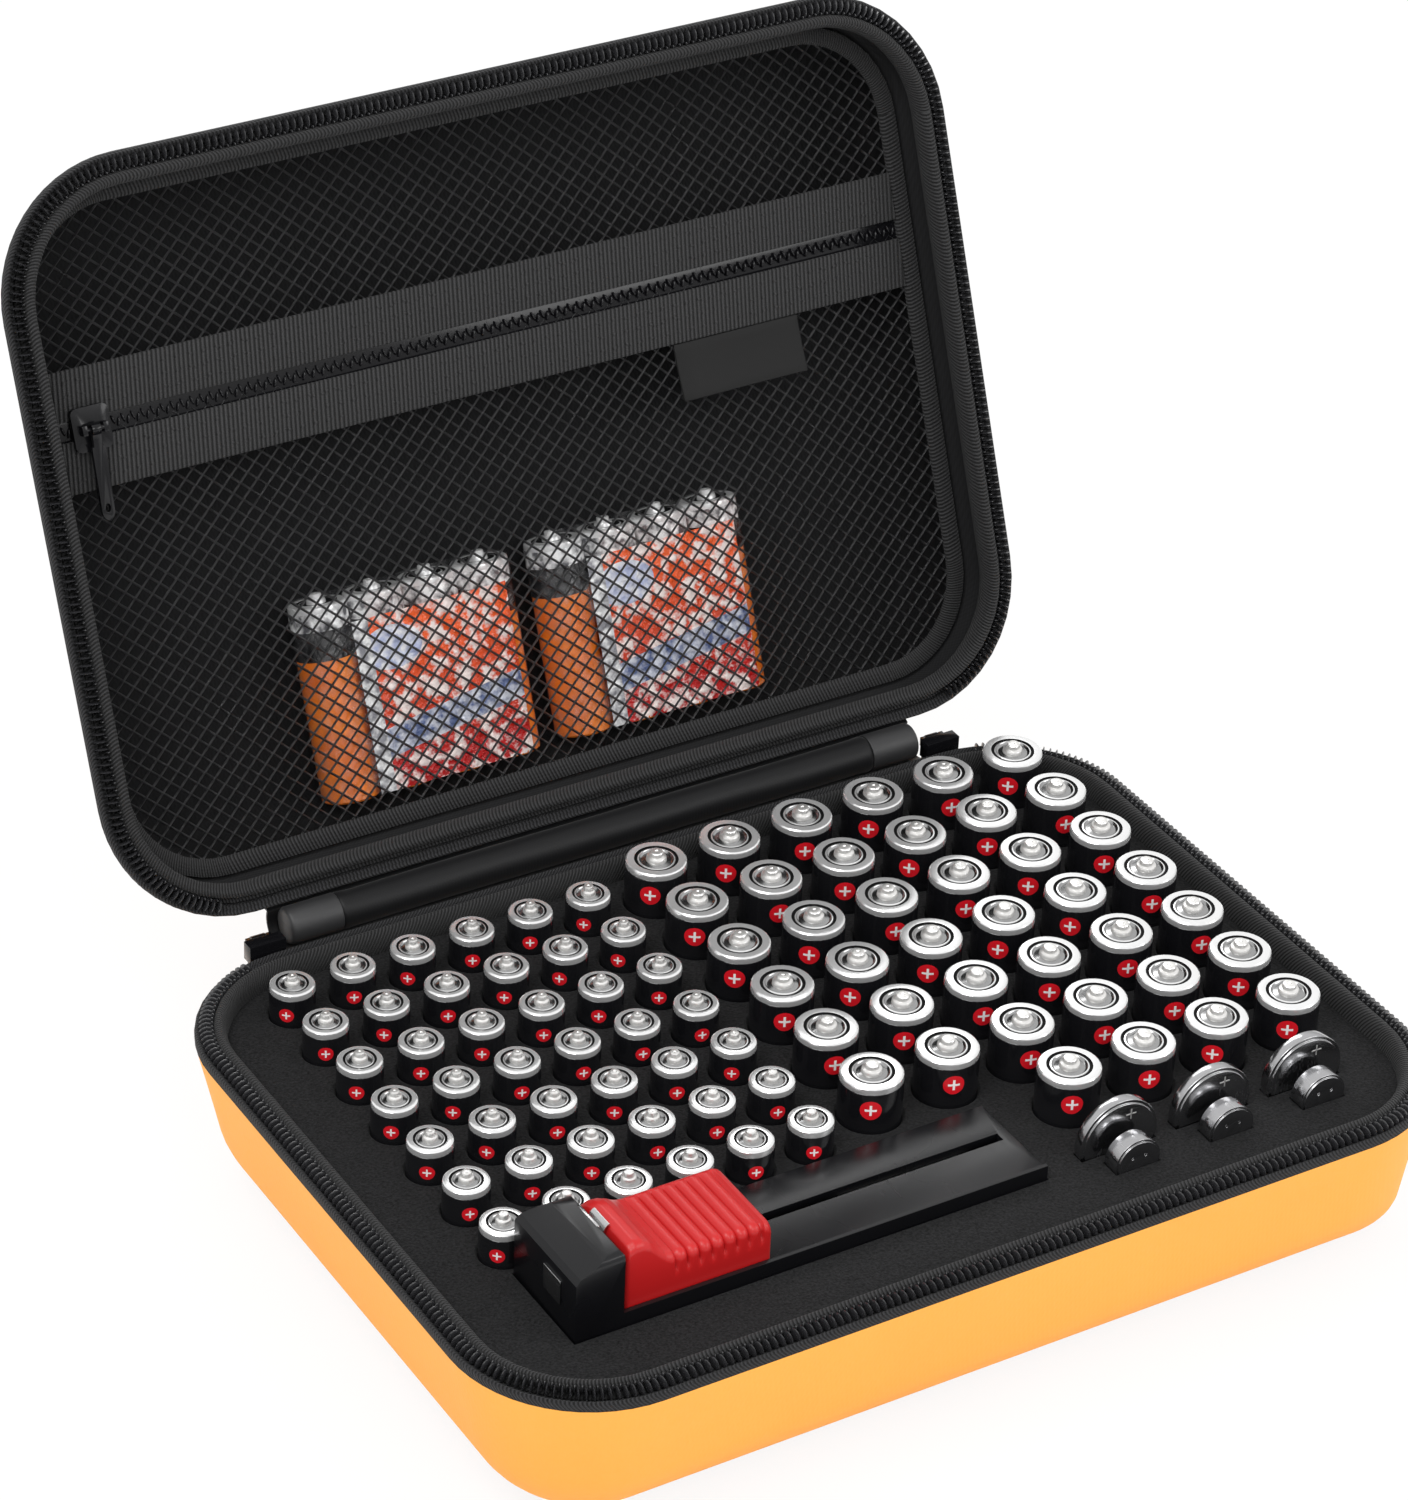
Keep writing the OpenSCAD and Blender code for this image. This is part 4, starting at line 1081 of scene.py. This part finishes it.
# %% [markdown]
# The sliders and pulls are small castings in black enamel. The two main sliders wait at the ends
# of the rim's zip, and their pulls hang down behind the case.

# %% Zip sliders and pulls
for side in ("left", "right"):
    softened_copy(f"main_slider_{side}", f"zip_slider_{side}", "base", ENAMEL, "pull_metal", 0.3)
    softened_copy(f"main_pull_{side}_bar", f"zip_pull_{side}", f"main_pull_{side}", ENAMEL, "pull_metal", 0.25)
softened_copy("pocket_slider_body", "pocket_zip_slider", "pocket_slider", ENAMEL, "pull_metal", 0.25)
pull = softened_copy("pocket_pull_bar", "pocket_zip_pull", "pocket_pull", ENAMEL, "pull_metal", 0.25)
middle = sum(v.co.x for v in pull.data.vertices) / len(pull.data.vertices)
for v in pull.data.vertices:
    v.co.x = middle + 0.62 * (v.co.x - middle)

# %% [markdown]
# The lid's pocket is a coarse knitted net. A grid of squares is turned by 45 degrees and stretched
# to the net's diamonds, trimmed to the pocket's outline, and turned into threads with the wireframe
# operator. The threads are real geometry, so the packs show through them from any side. The net is
# held all round, bulges a little over the packs and sags a little between them.

# %% Paint of the net
NET_PAINT = make_hard_paint("black net thread", grey(0.012), 0.30, 0.0, 0.0, 2200.0, 0.0005, Specular_IOR_Level=0.7)
PACKS = [(-31.3, "left"), (30.6, "right")]
NET_IN, NET_WIDE, NET_TALL, NET_STRETCH = 7.2, 4.3, 3.9, 0.96


# %% The two nets
def net_height(x, y):
    lift = 0.0
    for cx, _ in PACKS:
        dx, dy = max(0.0, abs(x - cx) - 26), max(0.0, abs(y - 48) - 22)
        lift += exp(-(dx * dx + dy * dy) / 60)
    soft = 0.25 * sin(x / 17) * cos(y / 13)
    return -0.55 * min(1.0, lift) + soft


def make_net(name, node, y_low, y_high):
    bm = bmesh.new()
    half = sqrt(0.5)
    shape = sized_spot(0, (y_low + y_high) / 2, NET_TOP + 0.35, 0, (NET_WIDE * half, NET_TALL * half, 1))
    shape = shape @ Matrix.Rotation(pi / 4, 4, "Z")
    bmesh.ops.create_grid(bm, x_segments=92, y_segments=92, size=46, matrix=shape)
    spare = []
    for face in bm.faces:
        x, y = face.calc_center_median().xy / MM
        (cx, cy), _ = outward(x, y)
        beyond = Vector((x - cx, y - cy)).length - (RIM_R - NET_IN - 1.0)
        if beyond > 0 or not y_low < y < y_high:
            spare.append(face)
    bmesh.ops.delete(bm, geom=spare, context="FACES")
    cut = NET_STRETCH ** 2 * sum(face.calc_area() for face in bm.faces)
    bmesh.ops.wireframe(
        bm, faces=bm.faces[:], thickness=0.00084, offset=0.0, use_replace=True, use_boundary=True, use_even_offset=False
    )
    for v in bm.verts:
        x, y = v.co.xy / MM
        v.co.z += net_height(x, y) * MM
    net = finish_piece(bm, name, "lid", [NET_PAINT], [node], 80)


make_net("net_above_zip", "mesh_upper", -81.0, -30.8)
make_net("net_below_zip", "mesh_lower", -24.4, 81.0)

# %% [markdown]
# A ribbed tape is sewn along the net's edge. Two strips of webbing carry the pocket's zip, each
# with three rows of stitches, and a blank satin tag is sewn in under the lower strip.

# %% Edge tape, webbing, pocket zip and tag
def edge_tape():
    section = [(-11.4, 60.95), (-11.3, 60.3), (-10.6, 59.8), (-9.4, 59.6), (-8.2, 59.5), (-7.3, 59.7), (-7.2, 60.9)]
    rim_band("net_edge_tape", "lid", "mesh_edge_binding", section, BINDING)


def flat_strip(bm, x0, x1, y0, y1, z0, z1, soft):
    made = add_cube(bm, (x0 + x1) / 2, (y0 + y1) / 2, (z0 + z1) / 2, (x1 - x0, y1 - y0, z1 - z0))
    edges = list({e for v in made for e in v.link_edges})
    bmesh.ops.bevel(bm, geom=edges, offset=soft * MM, segments=2, profile=0.5, affect="EDGES", material=-1)


def unwrap_flat(bm):
    layer = bm.loops.layers.uv.new("flat")
    for face in bm.faces:
        for loop in face.loops:
            loop[layer].uv = (loop.vert.co.x, loop.vert.co.y + loop.vert.co.z)


def stitches(bm, x0, x1, y, z, gap=3.4, long=2.3):
    spots = [(x0 + (k + 0.5) * gap, 0.35 if k % 2 else -0.35) for k in range(int((x1 - x0) / gap))]
    repeat_shape(bm, BALL, [sized_spot(x, y, z, lean, (long / 2, 0.34, 0.20)) for x, lean in spots])


def webbing_strip(name, node, y0, y1):
    bm = bmesh.new()
    flat_strip(bm, -109.7, 109.7, y0, y1, 59.8, 60.9, 0.3)
    long = [e for e in bm.edges if e.calc_length() > 0.1]
    bmesh.ops.subdivide_edges(bm, edges=long, cuts=60)
    for v in bm.verts:
        v.co.z += 0.06 * MM * sin(v.co.x / MM / 7 + v.co.y / MM / 5)
    for y in (y0 + 2.7, (y0 + y1) / 2, y1 - 2.7):
        stitches(bm, -108, 108, y, 59.84)
    unwrap_flat(bm)
    strip = finish_piece(bm, name, "lid", [WEBBING], [node], 50)


def pocket_zip():
    bm = bmesh.new()
    flat_strip(bm, -109.7, 109.7, ZIP_Y - 3.2, ZIP_Y + 3.2, 60.9, 61.55, 0.15)
    spots = [(-108.5 + 217 * k / 179, 0.3 if k % 2 else -0.3) for k in range(180)]
    repeat_shape(bm, BALL, [sized_spot(x, ZIP_Y + lean, 60.65, lean, (0.34, 1.2, 0.60)) for x, lean in spots])
    finish_piece(bm, "pocket_zip_row", "lid", [ENAMEL], ["pocket_zip_coil"], 60)


def make_tag():
    bm = bmesh.new()
    flat_strip(bm, 45.0, 79.0, -13.4, 0.2, 60.1, 60.8, 0.25)
    bmesh.ops.subdivide_edges(bm, edges=[e for e in bm.edges if e.calc_length() > 0.01], cuts=6, use_grid_fill=True)
    for v in bm.verts:
        down = (v.co.y / MM + 13.4) / 13.6
        v.co.z -= (1.1 * down * down + 0.25 * sin(v.co.x / MM / 6) * down) * MM
    unwrap_flat(bm)
    tag = finish_piece(bm, "blank_satin_tag", "lid", [TAG_SATIN], ["label_tag"], 50)


TAG_SATIN = make_cloth_paint("black satin tag", grey(0.001, 0), grey(0.004, 0), 0.0003, 0.6, 0.00001)
edge_tape()
webbing_strip("webbing_above_zip", "pocket_webbing_upper", -41.1, -29.8)
webbing_strip("webbing_below_zip", "pocket_webbing_lower", -25.2, -13.5)
pocket_zip()
make_tag()

# %% [markdown]
# Each pack is four round cells side by side in clear shrink film. The cells have printed sleeves
# in copper, red and silver, without any name or picture: bands and soft patches of the same
# colours, and the dark and light patches on the silver are painted reflection. The film is a thin
# glossy skin that bridges the cells and pulls in at the ends.

# %% Paints of the packs
def make_pack_paint():
    paint, tree, surface = start_paint("sleeves of the wrapped cells", (0.6, 0.16, 0.03), 0.2, 0.0, Coat_Weight=0.6)
    _, up, _ = split_node(tree, place_node(tree, "UV"))
    blot = noise_node(tree, place_node(tree), 150, 3, 0.55)
    tone = tone_node(tree, blot, (0.72, 0.10, 0.010), (1.0, 0.30, 0.03))
    dark = mix_node(tree, calc(tree, "GREATER_THAN", up, 0.034), tone, grey(0.012))
    # The silver band near the top of each sleeve runs from dark grey to white in patches: silver print with painted
    # reflection.
    patches = range_node(tree, noise_node(tree, place_node(tree), 420, 2, 0.5), -1.6, 2.8)
    silver_with_reflection = tone_node(tree, patches, grey(0.10, 0.01), grey(1.0, 0))
    silver = mix_node(tree, calc(tree, "GREATER_THAN", up, 0.041), dark, silver_with_reflection)
    feed(silver, surface)
    return paint


def make_film_paint():
    paint, tree, surface = start_paint("printed shrink film", (0.6, 0.1, 0.05), 0.13, 0.0, Coat_Weight=0.3)
    x, y, _ = split_node(tree, place_node(tree, "UV"))
    folds = noise_node(tree, place_node(tree), 260, 3, 0.6)
    blots = noise_node(tree, place_node(tree), 420, 2, 0.5)
    red = tone_node(tree, range_node(tree, y, -0.2, 1.3, (0.0, 0.045)), (0.55, 0.010, 0.010), (0.98, 0.13, 0.025))
    # Pale pink patches where the folds are high are painted highlights of the glossy film.
    pale = range_node(tree, folds, -4.4, 5.0)
    colour = mix_node(tree, pale, red, (1.0, 0.86, 0.82))
    stripe = calc(tree, "SUBTRACT", y, calc(tree, "MULTIPLY_ADD", x, 0.16, 0.0135))
    stripe = calc(tree, "LESS_THAN", calc(tree, "ABSOLUTE", stripe), 0.0034)
    inked = range_node(tree, blots, -1.4, 2.4)
    colour = mix_node(tree, stripe, colour, mix_node(tree, inked, (0.10, 0.14, 0.30), (0.70, 0.72, 0.80)))
    dx = calc(tree, "MULTIPLY", calc(tree, "ADD", x, 0.0075), 1 / 0.0078)
    dy = calc(tree, "MULTIPLY", calc(tree, "SUBTRACT", y, 0.0335), 1 / 0.0052)
    oval = calc(tree, "ADD", calc(tree, "MULTIPLY", dx, dx), calc(tree, "MULTIPLY", dy, dy))
    oval = calc(tree, "LESS_THAN", oval, 1.0)
    colour = mix_node(tree, oval, colour, mix_node(tree, inked, (0.45, 0.50, 0.72), (0.86, 0.86, 0.90)))
    # A silver strip at the label's left edge; its grey to white blotches are a painted highlight.
    silver_strip_highlight = tone_node(tree, range_node(tree, blots, -1.5, 2.5), grey(0.30, 0.03), grey(1.0, 0))
    colour = mix_node(tree, calc(tree, "LESS_THAN", x, -0.0125), colour, silver_strip_highlight)
    feed(colour, surface)
    inside = 1.0
    for limit in (("GREATER_THAN", x, -0.0165), ("LESS_THAN", y, 0.0415), ("LESS_THAN", x, 0.024)):
        inside = calc(tree, "MULTIPLY", inside, calc(tree, *limit))
    clear = calc(tree, "MULTIPLY", range_node(tree, folds, -0.5, 0.9), 0.35)
    feed(calc(tree, "MAXIMUM", inside, clear), surface, "Alpha")
    bump_node(tree, surface, folds, 0.0020)
    return paint


PACK_SLEEVE, FILM = make_pack_paint(), make_film_paint()
PACK_STEEL = make_hard_paint("plated ends under film", grey(0.97, 0), 0.2, 0.35)
print(PACK_SLEEVE.name, FILM.name)


# %% The two packs
RING_STEPS, PACK_PITCH, PACK_HALF = 48, 14.1, 28.2


def film_ring(cx, y, axis_z, half, radius):
    line = []
    for k in range(RING_STEPS):
        a = 2 * pi * (k + 0.5) / RING_STEPS
        side = 1 if cos(a) > 0 else -1
        line.append(Vector((cx + side * (half - radius) + radius * cos(a), y, axis_z + radius * sin(a))) * MM)
    return line


def make_pack(cx, side, axis_z=69.1, r=6.95, y_end=72.6, long=48.3):
    bm = bmesh.new()
    cell = turn_cell(r, long, 28)
    lay = Matrix.Rotation(pi / 2, 4, "X")
    for k in (-1.5, -0.5, 0.5, 1.5):
        spot = Matrix.Translation(mm(cx + k * PACK_PITCH, y_end, axis_z))
        add_copy(bm, cell, spot @ lay @ Matrix.Rotation(0.9 + 0.4 * k, 4, "Z"))
    cells = [PACK_SLEEVE, PACK_STEEL, GROOVE, DISC_STEEL, PACK_STEEL]
    finish_piece(bm, f"wrapped_cells_{side}", "lid", cells, [f"battery_pack_{side}"], 32)
    film = bmesh.new()
    rings = []
    for k in range(25):
        y = y_end - 0.4 - 46.6 * k / 24
        tight = 0.12 if k in (0, 24) else 0.0
        rings.append([film.verts.new(p) for p in film_ring(cx, y, axis_z, PACK_HALF - tight, PACK_PITCH / 2 - tight)])
    layer = film.loops.layers.uv.new("label")
    for a, b in zip(rings, rings[1:]):
        for j in range(RING_STEPS):
            k = (j + 1) % RING_STEPS
            face = film.faces.new((a[j], a[k], b[k], b[j]))
            front = face.calc_center_median().z < (axis_z - 2) * MM
            for loop in face.loops:
                x, y, _ = loop.vert.co / MM
                loop[layer].uv = ((x - cx) * MM if front else -1.0, (y_end - y) * MM)
    face_out(film)
    finish_piece(film, f"pack_film_{side}", "lid", [FILM], (), 60)


for cx, side in PACKS:
    make_pack(cx, side)

# %% [markdown]
# The picture is taken from the front left and above, with a long lens. The numbers come from
# fitting a camera to the grid of the cells' rings and to the outlines of the rims. The floor and
# the surroundings are plain and white, and the light is soft, so colours show about as written.

# %% Camera
EYE = mm(-517.1, -773.0, 720.5)
YAW, PITCH, ROLL, FOCAL = radians(32.12), radians(32.86), radians(-2.46), 5200


def make_camera():
    ahead = Vector((sin(YAW) * cos(PITCH), cos(YAW) * cos(PITCH), -sin(PITCH)))
    right = Vector((cos(YAW), -sin(YAW), 0))
    down = ahead.cross(right)
    turned = cos(ROLL) * right + sin(ROLL) * down
    up = sin(ROLL) * right - cos(ROLL) * down
    lens = bpy.data.cameras.new("camera")
    lens.sensor_fit, lens.sensor_width, lens.lens = "AUTO", 36, FOCAL / 1500 * 36
    lens.clip_start, lens.clip_end = 0.05, 20
    camera = bpy.data.objects.new("camera", lens)
    bpy.context.collection.objects.link(camera)
    camera.matrix_world = Matrix.Translation(EYE) @ Matrix((turned, up, -ahead)).transposed().to_4x4()
    bpy.context.scene.camera = camera
    print("lens in mm:", round(lens.lens, 1))


make_camera()


# %% Floor, surroundings and lamps
def make_floor():
    bm = bmesh.new()
    bmesh.ops.create_grid(bm, x_segments=1, y_segments=1, size=6)
    bmesh.ops.translate(bm, vec=(0, 0, -0.0002), verts=bm.verts)
    paint, tree, surface = start_paint("pale floor", (0.86, 0.86, 0.86), 0.8)
    seen = tree.nodes.new("ShaderNodeLightPath")
    glow = tree.nodes.new("ShaderNodeEmission")
    glow.inputs["Strength"].default_value = 1.0
    both = tree.nodes.new("ShaderNodeMixShader")
    tree.links.new(calc(tree, "MULTIPLY", seen.outputs["Is Camera Ray"], 0.88), both.inputs[0])
    tree.links.new(surface.outputs[0], both.inputs[1])
    tree.links.new(glow.outputs[0], both.inputs[2])
    tree.links.new(both.outputs[0], tree.nodes["Material Output"].inputs["Surface"])
    floor = finish_piece(bm, "floor", None, [paint])


def make_world():
    world = bpy.data.worlds.new("soft studio")
    bpy.context.scene.world = world
    world.use_nodes = True
    tree = world.node_tree
    seen = tree.nodes.new("ShaderNodeLightPath")
    white = calc(tree, "MAXIMUM", seen.outputs["Is Camera Ray"], seen.outputs["Is Transmission Ray"])
    sky = range_node(tree, split_node(tree, place_node(tree, "Generated"))[2], 0.40, 0.95, (-0.2, 0.5))
    background = tree.nodes["Background"]
    background.inputs["Color"].default_value = (1, 1, 1, 1)
    feed(calc(tree, "MAXIMUM", white, sky), background, "Strength")


def make_lamp(name, place, aim, size, watts):
    data = bpy.data.lights.new(name, "AREA")
    data.shape, data.size, data.size_y, data.energy = "RECTANGLE", size[0], size[1], watts
    lamp = bpy.data.objects.new(name, data)
    bpy.context.collection.objects.link(lamp)
    lamp.location = place
    lamp.rotation_euler = (Vector(aim) - Vector(place)).to_track_quat("-Z", "Y").to_euler()


make_floor()
make_world()
make_lamp("key", (-0.7, -0.2, 1.2), (0, 0, 0.05), (0.6, 0.6), 7.5)
make_lamp("fill", (0.9, -0.9, 0.8), (0, 0, 0.05), (0.8, 0.5), 5)
make_lamp("lid", (-0.25, -0.75, 0.85), (0, 0.14, 0.17), (0.35, 0.35), 2.4)
make_lamp("back", (0.3, 1.2, 1.0), (0, 0.05, 0.08), (1.0, 0.4), 5)
bpy.context.scene.view_settings.view_transform = "Standard"
